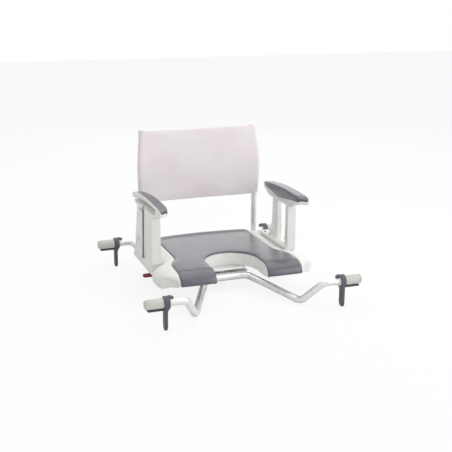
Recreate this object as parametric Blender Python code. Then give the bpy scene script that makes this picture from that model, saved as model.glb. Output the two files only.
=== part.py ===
"""Swivel bath seat.

A padded seat with a horseshoe opening, a fabric back and two armrests turns on a low tube frame that
lies across a bathtub.  Each end of the frame rests on the rim and has a clamp that slides in or out
until its leg bears on the tub's inner wall.  A red lever under the left side slides a lock bolt into
one of the notches of a round plate, and holds the seat at every quarter turn.

Metres, +Z up, the sitter faces -Y.  The origin is on the swivel axis, level with the lower ends
of the clamps' legs; heights in this file count from the plane of the rims, RIM_Z above it.
"""
import bmesh
import bpy
from math import cos, pi, radians, sin, tan
from mathutils import Matrix, Vector

MM = 0.001
GAP = 0.3 * MM                 # left between pieces that touch

# Bath frame
TUBE_R, TUBE_BORE = 12.0 * MM, 10.2 * MM
TUBE_Z = 20.5 * MM             # axis of the rim ends
SLEEVE_OUT = 365 * MM          # half length of the frame, over its sleeves
SLEEVE_WALL = 4.5 * MM         # rubber past the tube's end
TUBE_END = SLEEVE_OUT - SLEEVE_WALL
CLAMP_Y = 325 * MM             # rim ends, fore and aft of the swivel axis
SLEEVE_R, SLEEVE_LENGTH = 16.0 * MM, 59.2 * MM
SLEEVE_IN = SLEEVE_OUT - SLEEVE_LENGTH

# Rim clamps, measured from the middle of the ring
RING_R, RING_BORE, RING_HALF = 21.0 * MM, 15.2 * MM, 8.5 * MM
RING_X = SLEEVE_IN - RING_HALF - 0.8 * MM
STRIP_LENGTH, STRIP_HALF, STRIP_T = 60.5 * MM, 12.0 * MM, 4.0 * MM
RIM_Z = 68 * MM                # rims above the lower ends of the legs
LEG_IN, LEG_OUT = -2.0, 8.6    # faces of a leg; the outer one bears on the tub's inner wall
LEG_HALF = 12.5
CATCH_X, CATCH_Z, CATCH_R = -12.5 * MM, 17.7 * MM, 3.0 * MM
CATCH_TIP = -22.0 * MM

# Bends of the frame tubes: the first leaves a clamp its 30 mm of travel
UPPER_BEND = (RING_X - 63.5 * MM, CLAMP_Y, TUBE_Z)
LOWER_BEND = (183 * MM, 262 * MM, -57 * MM)
HUB_BEND = (76 * MM, 48 * MM, -23 * MM)

# Seat
PAD_TOP, PAD_T = 58 * MM, 5.0 * MM
SKIN_T = 3.9 * MM
CUT_R = 92 * MM                # horseshoe opening
CUT_Y = -104 * MM              # centre of its round end
ROLL_Y, ROLL_R, ROLL_Z = -155 * MM, 53 * MM, 18 * MM   # rolled front edge
PAD_SIDE = 176                 # half width of the pad beside the armrests
PAD_EDGE = [(211, -205), (211, -190), (209, -120), (205, -76), (192, -56), (PAD_SIDE + 2, -37),
            (PAD_SIDE, 0), (PAD_SIDE, 204), (PAD_SIDE - 3, 212), (PAD_SIDE - 12, 217), (90, 224),
            (0, 227)]
SIDE = 226                     # half width of the shell beside the armrests
SHOULDER = 0.9                 # share of the shell's margin where its wall turns down
SHELL_EDGE = [(219, -205), (238, -195), (260, -176), (275, -146), (280, -112), (276, -84),
              (260, -62), (240, -50), (SIDE, -43), (SIDE, 0), (SIDE, 204), (231, 212),
              (239, 220), (240, 240), (236, 249), (226, 252), (180, 251), (0, 247)]

# Hub: plates stacked on the frame's two middle runs
HUB_TOP = -7.7 * MM
HUB_X, HUB_Y = 80 * MM, 50 * MM
SPINDLE_R = 8.0 * MM
INDEX_R, INDEX_TOP = 37 * MM, -2.4 * MM
NOTCH_DEPTH, NOTCH_HALF = 8.0 * MM, 4.4 * MM
BEARING_R, BEARING_BORE = 32 * MM, 17 * MM
TURN_Z, TURN_T = 4.5 * MM, 3.0 * MM          # turntable plate under the seat
LEVER_PIVOT = (-160 * MM, 32 * MM)
TURN_HALF = 18 * MM - LEVER_PIVOT[0]
TURN_FRONT, TURN_REAR = -9 * MM, 172 * MM
APRON_HALF, APRON_FRONT = 70 * MM, -50 * MM  # its front part, seen through the opening
LIP_T, LIP_LOW = 3.0 * MM, 1.6 * MM          # its edge turned down, clear of the hub
BAR_HALF = (PAD_SIDE + SHOULDER * (SIDE - PAD_SIDE)) * MM - SKIN_T - 2 * GAP   # cross bars
BAR_TOP, BAR_T = 35 * MM, 3.5 * MM
BAR_DEPTH, BAR_FRONT, BAR_REAR = 36 * MM, 54 * MM, 128 * MM

# Lock bolt and its lever
BOLT_Z, BOLT_T = -6.9 * MM, 3.0 * MM
BOLT_TIP = INDEX_R + 1.2 * MM  # drawn back, clear of the notched plate
LEVER_REACH = 30 * MM
LEVER_Z, LEVER_T = -3.5 * MM, 3.0 * MM
GRIP_X = (-281 * MM, -241 * MM)

# Back
BACK_TUBE_R, BACK_TUBE_BORE = 10.8 * MM, 9.0 * MM
BACK_TOP = 444
BACK_PATH = [(214.5, 237, 16), (216, 241, 200), (222, 229, 320), (207.5, 248, BACK_TOP)]
COVER_Z = (194 * MM, (BACK_TOP + 5) * MM)
COVER_IN, COVER_OUT, PANEL_T = 12.0 * MM, 13.6 * MM, 2.4 * MM

# Armrests
ARM_WIDTH = 36 * MM
ARM_OUT, ARM_IN = SIDE * MM + ARM_WIDTH, SIDE * MM + GAP
POST_TOP = 207 * MM

FINISHES = {                     # base colour, roughness, metallic
    "white_paint": ((0.78, 0.78, 0.76), 0.35, 0.0),
    "white_plastic": ((0.80, 0.80, 0.77), 0.40, 0.0),
    "slate_plastic": ((0.105, 0.100, 0.130), 0.45, 0.0),
    "slate_foam": ((0.170, 0.160, 0.200), 0.45, 0.0),
    "pale_rubber": ((0.62, 0.63, 0.58), 0.60, 0.0),
    "fabric": ((0.78, 0.72, 0.73), 0.85, 0.0),
    "steel": ((0.56, 0.57, 0.58), 0.30, 1.0),
    "red_plastic": ((0.30, 0.010, 0.030), 0.35, 0.0),
}


# Small tools for shapes

def material_for(name, finish):
    colour, roughness, metallic = FINISHES[finish]
    mat = bpy.data.materials.new(name)
    mat.use_nodes = True
    shader = mat.node_tree.nodes["Principled BSDF"]
    shader.inputs["Base Color"].default_value = (*colour, 1.0)
    shader.inputs["Roughness"].default_value = roughness
    shader.inputs["Metallic"].default_value = metallic
    mat.diffuse_color = (*colour, 1.0)
    return mat


def add(name, mesh, finish, at=(0, 0, 0), parent=None, turn=0.0):
    """A named piece at a place; a piece under an empty is placed from that empty."""
    ob = bpy.data.objects.new(name, mesh)
    bpy.context.scene.collection.objects.link(ob)
    ob.location = at
    ob.rotation_euler = (0, 0, turn)
    if finish:
        if not mesh.materials:
            mesh.materials.append(None)
        ob.material_slots[0].link = "OBJECT"
        ob.material_slots[0].material = material_for(name, finish)
    ob.parent = parent or bpy.data.objects["rim_level"]
    return ob


def pivot(name, at, turn=0.0, parent=None):
    parent = parent or bpy.data.objects.get("rim_level")
    ob = bpy.data.objects.new(name, None)
    bpy.context.scene.collection.objects.link(ob)
    ob.empty_display_size = 0.03
    ob.location = at
    ob.rotation_euler = (0, 0, turn)
    ob.parent = parent
    return ob


def loft(rows, cells, origin=(0, 0, 0), sharp=radians(35)):
    """A closed body whose section is drawn again at every row.

    rows[k][i] is point i of the section at station k, and each cell lists the points round one
    face of the section.  Cell edges that two cells share lie inside, so they get no wall.
    """
    bm = bmesh.new()
    base = Vector(origin)
    verts = [[bm.verts.new(Vector(p) - base) for p in row] for row in rows]
    edges = {(c[i], c[(i + 1) % len(c)]) for c in cells for i in range(len(c))}
    for a, b in sorted(edges):
        if (b, a) in edges:
            continue
        for one, two in zip(verts, verts[1:]):
            bm.faces.new((one[a], one[b], two[b], two[a]))
    for cell in cells:
        bm.faces.new([verts[0][i] for i in reversed(cell)])
        bm.faces.new([verts[-1][i] for i in cell])
    return finish_mesh(bm, sharp)


def finish_mesh(bm, sharp=radians(35)):
    bmesh.ops.recalc_face_normals(bm, faces=bm.faces)
    if bm.calc_volume(signed=True) < 0:
        bmesh.ops.reverse_faces(bm, faces=bm.faces)
    mesh = bpy.data.meshes.new("shape")
    bm.to_mesh(mesh)
    bm.free()
    mesh.shade_smooth()
    mesh.set_sharp_from_angle(angle=sharp)
    return mesh


def prism(outline, low, high, axis="Z", origin=(0, 0, 0)):
    """An outline of (u, v) points raised from low to high along one axis."""
    order = {"X": lambda u, v, w: (w, u, v), "Y": lambda u, v, w: (u, w, v),
             "Z": lambda u, v, w: (u, v, w)}[axis]
    rows = [[order(u, v, w) for u, v in outline] for w in (low, high)]
    return loft(rows, [tuple(range(len(outline)))], origin)


def box(low, high, origin=(0, 0, 0)):
    outline = [(low[0], low[1]), (high[0], low[1]), (high[0], high[1]), (low[0], high[1])]
    return prism(outline, low[2], high[2], "Z", origin)


def round_corners(corners, radius, steps=4):
    """Corners of a closed outline, each cut back to an arc."""
    out = []
    count = len(corners)
    for i in range(count):
        here = Vector(corners[i])
        before = (Vector(corners[i - 1]) - here).normalized()
        after = (Vector(corners[(i + 1) % count]) - here).normalized()
        start, end = here + before * radius, here + after * radius
        for k in range(steps + 1):
            t = k / steps
            p = start * (1 - t) ** 2 + here * 2 * t * (1 - t) + end * t ** 2
            out.append((p.x, p.y))
    return out


def lathe(profile, sides, axis="Z", origin=(0, 0, 0), at=(0, 0)):
    """A closed (radius, height) profile turned about an axis.

    The two numbers in at place that axis in the plane across it.
    """
    order = {"X": lambda r, s, h: (h, at[0] + r, at[1] + s),
             "Y": lambda r, s, h: (at[0] + r, h, at[1] + s),
             "Z": lambda r, s, h: (at[0] + r, at[1] + s, h)}[axis]
    bm = bmesh.new()
    base = Vector(origin)
    rings = []
    for radius, height in profile:
        if radius < 1e-7:
            rings.append([bm.verts.new(Vector(order(0, 0, height)) - base)])
        else:
            rings.append([bm.verts.new(Vector(order(radius * cos(2 * pi * k / sides),
                                                    radius * sin(2 * pi * k / sides),
                                                    height)) - base) for k in range(sides)])
    for one, two in zip(rings, rings[1:] + rings[:1]):
        if len(one) == 1 and len(two) == 1:
            continue
        for k in range(sides):
            n = (k + 1) % sides
            corners = [one[k % len(one)], one[n % len(one)], two[n % len(two)], two[k % len(two)]]
            bm.faces.new(list(dict.fromkeys(corners)))
    return finish_mesh(bm)


def bent_path(corners, radii, steps):
    """Points of a bent tube's axis: straight runs joined by arcs."""
    pts = [Vector(corners[0])]
    for i in range(1, len(corners) - 1):
        here = Vector(corners[i])
        into = (here - Vector(corners[i - 1])).normalized()
        away = (Vector(corners[i + 1]) - here).normalized()
        half = into.angle(away) / 2
        reach = radii[i - 1] * tan(half)
        start, end = here - into * reach, here + away * reach
        middle = here + (away - into).normalized() * (radii[i - 1] / cos(half))
        for k in range(steps + 1):
            t = k / steps
            one, two = start - middle, end - middle
            w = sin(2 * half)
            pts.append(middle + one * (sin((1 - t) * 2 * half) / w) + two * (sin(t * 2 * half) / w))
    pts.append(Vector(corners[-1]))
    return pts


def tube(path, outer, bore, sides, origin=(0, 0, 0)):
    """A round tube with a through bore; its section doesn't twist along the way."""
    rows = []
    side = None
    for i, p in enumerate(path):
        along = (path[min(i + 1, len(path) - 1)] - path[max(i - 1, 0)]).normalized()
        if side is None:
            side = along.orthogonal()
        side = (side - along * side.dot(along)).normalized()
        other = along.cross(side)
        rows.append([p + (side * cos(2 * pi * k / sides) + other * sin(2 * pi * k / sides)) * r
                     for r in (outer, bore) for k in range(sides)])
    return loft(rows, ring_cells(sides), origin)


def ring_cells(n, first=0):
    """Cells of a ring section whose outer points come first."""
    return [(first + k, first + (k + 1) % n, first + n + (k + 1) % n, first + n + k)
            for k in range(n)]


def cut(target, tool, operation="DIFFERENCE"):
    mod = target.modifiers.new(operation.title(), "BOOLEAN")
    mod.operation = operation
    mod.object = tool
    mod.solver = "EXACT"
    tool.hide_render = True
    tool.display_type = "WIRE"


def settle(ob, tools):
    """Keep the cut shape as the piece's own mesh, so that its copies can share it."""
    graph = bpy.context.evaluated_depsgraph_get()
    mesh = bpy.data.meshes.new_from_object(ob.evaluated_get(graph))
    ob.modifiers.clear()
    ob.data = mesh
    for tool in tools:
        bpy.data.objects.remove(tool)
    return mesh


def table(x, pairs):
    """A value read from a table with straight lines between its rows."""
    if x <= pairs[0][0]:
        return pairs[0][1]
    for (a, va), (b, vb) in zip(pairs, pairs[1:]):
        if x <= b:
            return va + (vb - va) * (x - a) / (b - a)
    return pairs[-1][1]


def mirrored(rows):
    return [[(-p[0], p[1], p[2]) for p in row] for row in rows]


# Bath frame

def bath_frame():
    for name, fore in (("frame_tube_front", -1), ("frame_tube_rear", 1)):
        half = [(TUBE_END, CLAMP_Y, TUBE_Z), UPPER_BEND, LOWER_BEND, HUB_BEND]
        corners = [(x, fore * y, z) for x, y, z in half]
        corners += [(-x, y, z) for x, y, z in reversed(corners)]
        radii = [27 * MM, 40 * MM, 32 * MM, 32 * MM, 40 * MM, 27 * MM]
        add(name, tube(bent_path(corners, radii, 3), TUBE_R, TUBE_BORE, 10), "white_paint")

    sleeve = [(TUBE_R + GAP, SLEEVE_IN), (SLEEVE_R - 0.8 * MM, SLEEVE_IN),
              (SLEEVE_R, SLEEVE_IN + 1 * MM), (SLEEVE_R, SLEEVE_OUT - 3.5 * MM),
              (SLEEVE_R - 3.5 * MM, SLEEVE_OUT), (0, SLEEVE_OUT),
              (0, TUBE_END + GAP), (TUBE_R + GAP, TUBE_END + GAP)]
    mesh = lathe(sleeve, 16, "X", at=(0, TUBE_Z))
    for tag, side, fore in CORNERS:
        place = pivot("sleeve_seat_" + tag, (0, fore * CLAMP_Y, 0), 0 if side > 0 else pi)
        add("rim_sleeve_" + tag, mesh, "pale_rubber", parent=place)

    plate = add("hub_plate", prism(round_corners([(-HUB_X, -HUB_Y), (HUB_X, -HUB_Y),
                                                  (HUB_X, HUB_Y), (-HUB_X, HUB_Y)], 12 * MM),
                                   HUB_BEND[2] + TUBE_R + GAP, HUB_TOP), "white_paint")
    bore = add("spindle_bore", lathe([(0, -0.03), (SPINDLE_R + GAP, -0.03),
                                      (SPINDLE_R + GAP, 0.03), (0, 0.03)], 20), None)
    cut(plate, bore)
    index = add("index_plate", lathe([(0, HUB_TOP + GAP), (INDEX_R, HUB_TOP + GAP),
                                      (INDEX_R, INDEX_TOP), (0, INDEX_TOP)], 32), "steel")
    cut(index, bore)
    reach = INDEX_R + 0.01
    floor = INDEX_R - NOTCH_DEPTH
    for k in range(4):
        notch = add("notch_%d" % k, box((floor, -NOTCH_HALF, -0.02), (reach, NOTCH_HALF, 0.02)),
                    None, turn=k * pi / 2)
        cut(index, notch)
    add("bearing_lower", ring_plate(BEARING_R, BEARING_BORE, INDEX_TOP + GAP, 1.1 * MM, 20),
        "white_plastic")
    return bore


def ring_plate(outer, bore, low, high, sides):
    rim = 0.6 * MM
    return lathe([(bore, low), (outer - rim, low), (outer, low + rim), (outer, high - rim),
                  (outer - rim, high), (bore, high)], sides)


# Rim clamps

CORNERS = (("front_left", -1, -1), ("front_right", 1, -1), ("rear_left", -1, 1),
           ("rear_right", 1, 1))


def clamp_meshes():
    """Meshes of one clamp, drawn for a right-hand tube end, +X outward from the ring's middle."""
    ring = lathe([(0, -RING_HALF), (RING_R - 1.5 * MM, -RING_HALF), (RING_R, 1.5 * MM - RING_HALF),
                  (RING_R, RING_HALF - 1.5 * MM), (RING_R - 1.5 * MM, RING_HALF), (0, RING_HALF)],
                 18, "X")
    body = add("clamp_shape", ring, None)
    rim = -TUBE_Z                                   # rim plane, seen from the ring's middle
    foot = -RIM_Z - TUBE_Z
    strip = add("strip_shape", prism(round_corners([(2 * MM, -STRIP_HALF),
                                                    (STRIP_LENGTH, -STRIP_HALF),
                                                    (STRIP_LENGTH, STRIP_HALF),
                                                    (2 * MM, STRIP_HALF)], 4 * MM, 3),
                                     rim, rim + STRIP_T), None)
    levels = [(-9, LEG_HALF, LEG_IN - 5.5, LEG_OUT - 0.4), (-16.6, LEG_HALF, LEG_IN - 5, LEG_OUT),
              (-21, LEG_HALF, LEG_IN - 3, LEG_OUT), (-27, LEG_HALF, LEG_IN - 0.6, LEG_OUT),
              (-35, LEG_HALF, LEG_IN, LEG_OUT), (-76, LEG_HALF, LEG_IN, LEG_OUT),
              (-82.5, LEG_HALF - 1.4, LEG_IN + 0.8, LEG_OUT - 0.5),
              (-86.6, LEG_HALF - 4, LEG_IN + 2.2, LEG_OUT - 1.2),
              (foot / MM, LEG_HALF - 7.5, LEG_IN + 4, LEG_OUT - 2.4)]
    rows = []
    for z, half, inner, outer in levels:
        c = min(2.0, (outer - inner) * 0.3)
        rows.append([(x * MM, y * MM, z * MM) for x, y in (
            (inner, -half + c), (inner + c, -half), (outer - c, -half), (outer, -half + c),
            (outer, half - c), (outer - c, half), (inner + c, half), (inner, half - c))])
    leg = add("leg_shape", loft(rows, [tuple(range(8))]), None)
    tools = [strip, leg]
    for k, side in enumerate((-1, 1)):
        lug = [(side * y * MM) for y in (5.3, 8.3)]
        tools.append(add("lug_shape_%d" % k, box((-0.0160, min(lug), 0.0143),
                                                 (-0.0060, max(lug), 0.0207)), None))
    for tool in tools:
        cut(body, tool, "UNION")
    bore = add("ring_bore", lathe([(0, -0.03), (RING_BORE, -0.03), (RING_BORE, 0.03), (0, 0.03)],
                                  16, "X"), None)
    pin_bore = add("pin_bore", lathe([(0, -0.02), (1.4 * MM, -0.02), (1.4 * MM, 0.02), (0, 0.02)],
                                     10, "Y", at=(CATCH_X, CATCH_Z)), None)
    cut(body, bore)
    cut(body, pin_bore)

    collar = 14.2 * MM
    bush = lathe([(TUBE_R + GAP, -0.0152), (collar - 0.6 * MM, -0.0152), (collar, -0.0146),
                  (collar, -RING_HALF - GAP), (RING_BORE - GAP, -RING_HALF - GAP),
                  (RING_BORE - GAP, RING_HALF), (TUBE_R + GAP, RING_HALF)], 16, "X")

    catch = add("catch_shape", lathe([(0, -5 * MM), (CATCH_R, -5 * MM), (CATCH_R, 5 * MM),
                                      (0, 5 * MM)], 14, "Y", at=(CATCH_X, CATCH_Z)), None)
    tongue_low, tongue_high = CATCH_Z - 0.6 * MM, CATCH_Z + 2.4 * MM
    tooth = TUBE_R + 0.5 * MM
    outline = [(CATCH_X, tongue_low), (CATCH_X, tongue_high), (CATCH_TIP + 4 * MM, tongue_high),
               (CATCH_TIP, tongue_high - 1.6 * MM), (CATCH_TIP, tooth + 0.8 * MM),
               (CATCH_TIP + 1.2 * MM, tooth), (CATCH_TIP + 3 * MM, tooth),
               (CATCH_TIP + 4.4 * MM, tongue_low)]
    tongue = add("tongue_shape", prism(outline, -4.6 * MM, 4.6 * MM, "Y"), None)
    cut(catch, tongue, "UNION")
    cut(catch, pin_bore)
    pin = lathe([(0, -8.8 * MM), (1.2 * MM, -8.8 * MM), (1.2 * MM, 8.8 * MM), (0, 8.8 * MM)],
                10, "Y", at=(CATCH_X, CATCH_Z))
    body_mesh = settle(body, [])
    catch_mesh = settle(catch, [])
    for ob in [body, catch, tongue, bore, pin_bore] + tools:
        bpy.data.objects.remove(ob)
    hinge = Matrix.Translation((-CATCH_X, 0, -CATCH_Z))
    for mesh in (catch_mesh, pin):
        mesh.transform(hinge)
    return body_mesh, bush, catch_mesh, pin


def rim_clamps():
    body, bush, catch, pin = clamp_meshes()
    for tag, side, fore in CORNERS:
        slide = pivot("clamp_slide_" + tag, (side * RING_X, fore * CLAMP_Y, TUBE_Z),
                      0 if side > 0 else pi)
        hinge = pivot("catch_hinge_" + tag, (CATCH_X, 0, CATCH_Z), 0, slide)
        add("clamp_" + tag, body, "slate_plastic", parent=slide)
        add("clamp_bush_" + tag, bush, "white_plastic", parent=slide)
        add("clamp_catch_" + tag, catch, "white_plastic", parent=hinge)
        add("clamp_pin_" + tag, pin, "steel", parent=hinge)


# Seat

def edge_point(outline, angle):
    """Where a ray from the middle of the opening's round end meets a half outline."""
    dx, dy = cos(angle), sin(angle)
    for (x0, y0), (x1, y1) in zip(outline, outline[1:]):
        x0, y0, x1, y1 = x0 * MM, y0 * MM, x1 * MM, y1 * MM
        ex, ey = x1 - x0, y1 - y0
        det = dx * -ey + ex * dy
        if abs(det) < 1e-12:
            continue
        rx, ry = x0, y0 - CUT_Y
        reach = (rx * -ey + ex * ry) / det
        share = (dx * ry - dy * rx) / det
        if reach > 0 and -1e-6 <= share <= 1 + 1e-6:
            return reach
    raise ValueError("no edge on this ray")


def half_width(outline, y):
    for (x0, y0), (x1, y1) in zip(outline, outline[1:]):
        if y0 * MM <= y <= y1 * MM and y1 > y0:
            return (x0 + (x1 - x0) * (y / MM - y0) / (y1 - y0)) * MM
    return outline[0][0] * MM


def seat_stations():
    """Stations round the horseshoe from the left front to the right front.

    Each holds the middle of its rays, the way across the seat from the opening outward, how far
    out the opening's wall, the pad's edge and the shell's edge lie, and the roll of the front edge.
    """
    right = []
    rolls = [radians(a) for a in (88, 70, 52, 35, 17)]
    for roll in rolls:
        y = ROLL_Y - ROLL_R * sin(roll)
        cut_in = CUT_R - 2 * MM * min(1, (ROLL_Y - y) / (50 * MM))
        right.append((y, Vector((1, 0)), cut_in, half_width(PAD_EDGE, y),
                      half_width(SHELL_EDGE, y), roll))
    for y in (ROLL_Y, ROLL_Y + 16 * MM, ROLL_Y + 34 * MM):
        right.append((y, Vector((1, 0)), CUT_R, half_width(PAD_EDGE, y),
                      half_width(SHELL_EDGE, y), 0))
    for deg in (0, 7.7, 15.5, 22, 31, 42, 53.4, 54.4, 56.5, 59, 62, 68, 78, 90):
        a = radians(deg)
        right.append((CUT_Y, Vector((cos(a), sin(a))), CUT_R, edge_point(PAD_EDGE, a),
                      edge_point(SHELL_EDGE, a), 0))
    left = [(y, Vector((-d.x, d.y)), i, p, s, roll) for y, d, i, p, s, roll in right]
    return left + right[-2::-1]


def seat_point(station, out, flat_z):
    """A point of the seat's upper surfaces, which roll down together at the front."""
    y, across, _, _, _, roll = station
    if not roll:
        return (across.x * out, y + across.y * out, flat_z)
    lift = flat_z - ROLL_Z
    share = lift / (PAD_TOP - ROLL_Z)
    return (across.x * out, ROLL_Y - ROLL_R * share * sin(roll), ROLL_Z + lift * cos(roll))


def seat_rim(station, out, low_z, front_z):
    """A point of the shell's lower edges."""
    y, across, _, _, _, roll = station
    if not roll:
        return (across.x * out, y + across.y * out, low_z)
    share = (PAD_TOP - PAD_T - ROLL_Z) / (PAD_TOP - ROLL_Z)
    return (across.x * out, ROLL_Y - ROLL_R * share * sin(roll),
            low_z + (front_z - low_z) * sin(roll))


def seat_shell(parent):
    top = PAD_TOP - PAD_T - GAP
    under = top - SKIN_T
    rows = []
    for st in seat_stations():
        _, _, i, p, s, _ = st
        d = s - p
        wall = min(SKIN_T, 0.3 * d)
        outer = [seat_rim(st, i + 1.5 * MM, 8 * MM, 14 * MM), seat_point(st, i, top - 4 * MM),
                 seat_point(st, i + 1.5 * MM, top),
                 seat_point(st, (i + p) / 2, top), seat_point(st, p + 0.02 * d + GAP, top),
                 seat_point(st, p + 0.05 * d + GAP, PAD_TOP - 1.6 * MM),
                 seat_point(st, p + 0.15 * d, PAD_TOP - 0.4 * MM),
                 seat_point(st, p + 0.30 * d, PAD_TOP - 3.0 * MM),
                 seat_point(st, p + 0.62 * d, PAD_TOP - 5.5 * MM),
                 seat_point(st, p + SHOULDER * d, PAD_TOP - 13 * MM),
                 seat_rim(st, s, 28 * MM, 17.6 * MM), seat_rim(st, s - 0.03 * d, 10 * MM, 16 * MM),
                 seat_rim(st, s - 0.16 * d, 1.5 * MM, 14 * MM)]
        inner = [seat_rim(st, i + 1.5 * MM + SKIN_T, 8 * MM, 14 * MM),
                 seat_point(st, i + SKIN_T, under - 4 * MM),
                 seat_point(st, i + 2 * MM + SKIN_T, under), seat_point(st, (i + p) / 2, under),
                 seat_point(st, p + 0.02 * d + GAP, under),
                 seat_point(st, p + 0.05 * d + GAP, under),
                 seat_point(st, p + 0.15 * d, under), seat_point(st, p + 0.30 * d, under),
                 seat_point(st, p + 0.58 * d, under - 0.5 * MM),
                 seat_point(st, p + SHOULDER * d - wall, PAD_TOP - 16 * MM),
                 seat_rim(st, s - wall, 27 * MM, 16.6 * MM),
                 seat_rim(st, s - 0.03 * d - wall, 10 * MM, 15.4 * MM),
                 seat_rim(st, s - 0.16 * d - wall, 1.5 * MM, 14 * MM)]
        rows.append(outer + inner)
    n = len(rows[0]) // 2
    cells = [(k, k + 1, n + k + 1, n + k) for k in range(n - 1)]
    shell = add("seat_shell", loft(rows, cells), "white_plastic", parent=parent)
    for k, side in enumerate((-1, 1)):
        x, y, _ = BACK_PATH[0]
        bore = add("tube_socket_%d" % k,
                   lathe([(0, 0.005), (BACK_TUBE_R + 1 * MM, 0.005), (BACK_TUBE_R + 1 * MM, 0.07),
                          (0, 0.07)], 16, at=(side * x * MM, (y + 0.5) * MM)), None)
        cut(shell, bore)


def seat_pad(parent):
    base = PAD_TOP - PAD_T
    crown = 1.2 * MM
    rows = []
    for st in seat_stations():
        _, _, i, p, _, _ = st
        w = p - i
        upper = [(i - 0.6 * MM, 1.6), (i + 0.4 * MM, 3.9), (i + 3.5 * MM, 5.0),
                 (i + 0.28 * w, 5.0 + crown / MM), (i + 0.5 * w, 5.0 + 1.4 * crown / MM),
                 (i + 0.72 * w, 5.0 + crown / MM), (p - 3.5 * MM, 5.0), (p - 0.5 * MM, 3.9),
                 (p, 1.6)]
        lower = [(i, 0.0), (i + 2 * MM, 0.0), (i + 5 * MM, 0.0), (i + 0.28 * w, 0.0),
                 (i + 0.5 * w, 0.0), (i + 0.72 * w, 0.0), (p - 5 * MM, 0.0), (p - 2 * MM, 0.0),
                 (p - 0.6 * MM, 0.0)]
        rows.append([seat_point(st, out, base + h * MM) for out, h in upper + lower])
    n = len(rows[0]) // 2
    cells = [(k, k + 1, n + k + 1, n + k) for k in range(n - 1)]
    add("seat_pad", loft(rows, cells), "slate_foam", parent=parent)


def under_seat(parent, bore):
    outline = round_corners([(-TURN_HALF, TURN_FRONT), (TURN_HALF, TURN_FRONT),
                             (TURN_HALF, TURN_REAR), (-TURN_HALF, TURN_REAR)], 20 * MM)
    plate = add("turn_plate", prism(outline, TURN_Z, TURN_Z + TURN_T), "white_paint",
                parent=parent)
    section = [(TURN_FRONT + 20 * MM, TURN_Z), (TURN_FRONT + 20 * MM, TURN_Z + TURN_T),
               (APRON_FRONT + 1 * MM, TURN_Z + TURN_T), (APRON_FRONT, TURN_Z + TURN_T - 1 * MM),
               (APRON_FRONT, LIP_LOW), (APRON_FRONT + LIP_T, LIP_LOW),
               (APRON_FRONT + LIP_T, TURN_Z)]
    apron = add("turn_apron", prism(section, -APRON_HALF, APRON_HALF, "X"), None)
    cut(plate, apron, "UNION")
    top, low = TURN_Z - GAP, HUB_TOP - 10.5 * MM
    add("spindle", lathe([(0, low), (SPINDLE_R - 1 * MM, low), (SPINDLE_R, low + 1 * MM),
                          (SPINDLE_R, 1.4 * MM), (14 * MM, 1.4 * MM), (14 * MM, top), (0, top)],
                         20), "steel", parent=parent)
    hexagon = [(13 * MM * cos(k * pi / 3), 13 * MM * sin(k * pi / 3)) for k in range(6)]
    nut = add("spindle_nut", prism(hexagon, low + 2 * MM, HUB_BEND[2] + TUBE_R - 0.2 * MM),
              "steel", parent=parent)
    cut(nut, bore)
    pin_hole = add("lever_bore", lathe([(0, -0.02), (4.3 * MM, -0.02), (4.3 * MM, 0.02),
                                        (0, 0.02)], 14, at=LEVER_PIVOT), None)
    cut(plate, pin_hole)
    add("bearing_upper", ring_plate(BEARING_R, BEARING_BORE, 1.4 * MM, TURN_Z - GAP, 20),
        "white_plastic", parent=parent)
    low = TURN_Z + TURN_T + GAP
    half, t, top = BAR_HALF, BAR_T, BAR_TOP
    bar = [(-half, low), (half, low), (half, top), (half - t, top), (half - t, low + t),
           (t - half, low + t), (t - half, top), (-half, top)]
    for name, y in (("cross_bar_front", BAR_FRONT), ("cross_bar_rear", BAR_REAR)):
        add(name, prism(bar, y, y + BAR_DEPTH, "Y"), "steel", parent=parent)
    outer, inner = 9.6 * MM, 6.6 * MM
    top, floor = TURN_Z - GAP, BOLT_Z - 0.5 * MM
    guide = [(-outer, top), (-outer, floor - 2.5 * MM), (outer, floor - 2.5 * MM), (outer, top),
             (inner, top), (inner, floor), (-inner, floor), (-inner, top)]
    add("bolt_guide", prism(guide, -125 * MM, -105 * MM, "X"), "steel", parent=parent)
    return pin_hole


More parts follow.
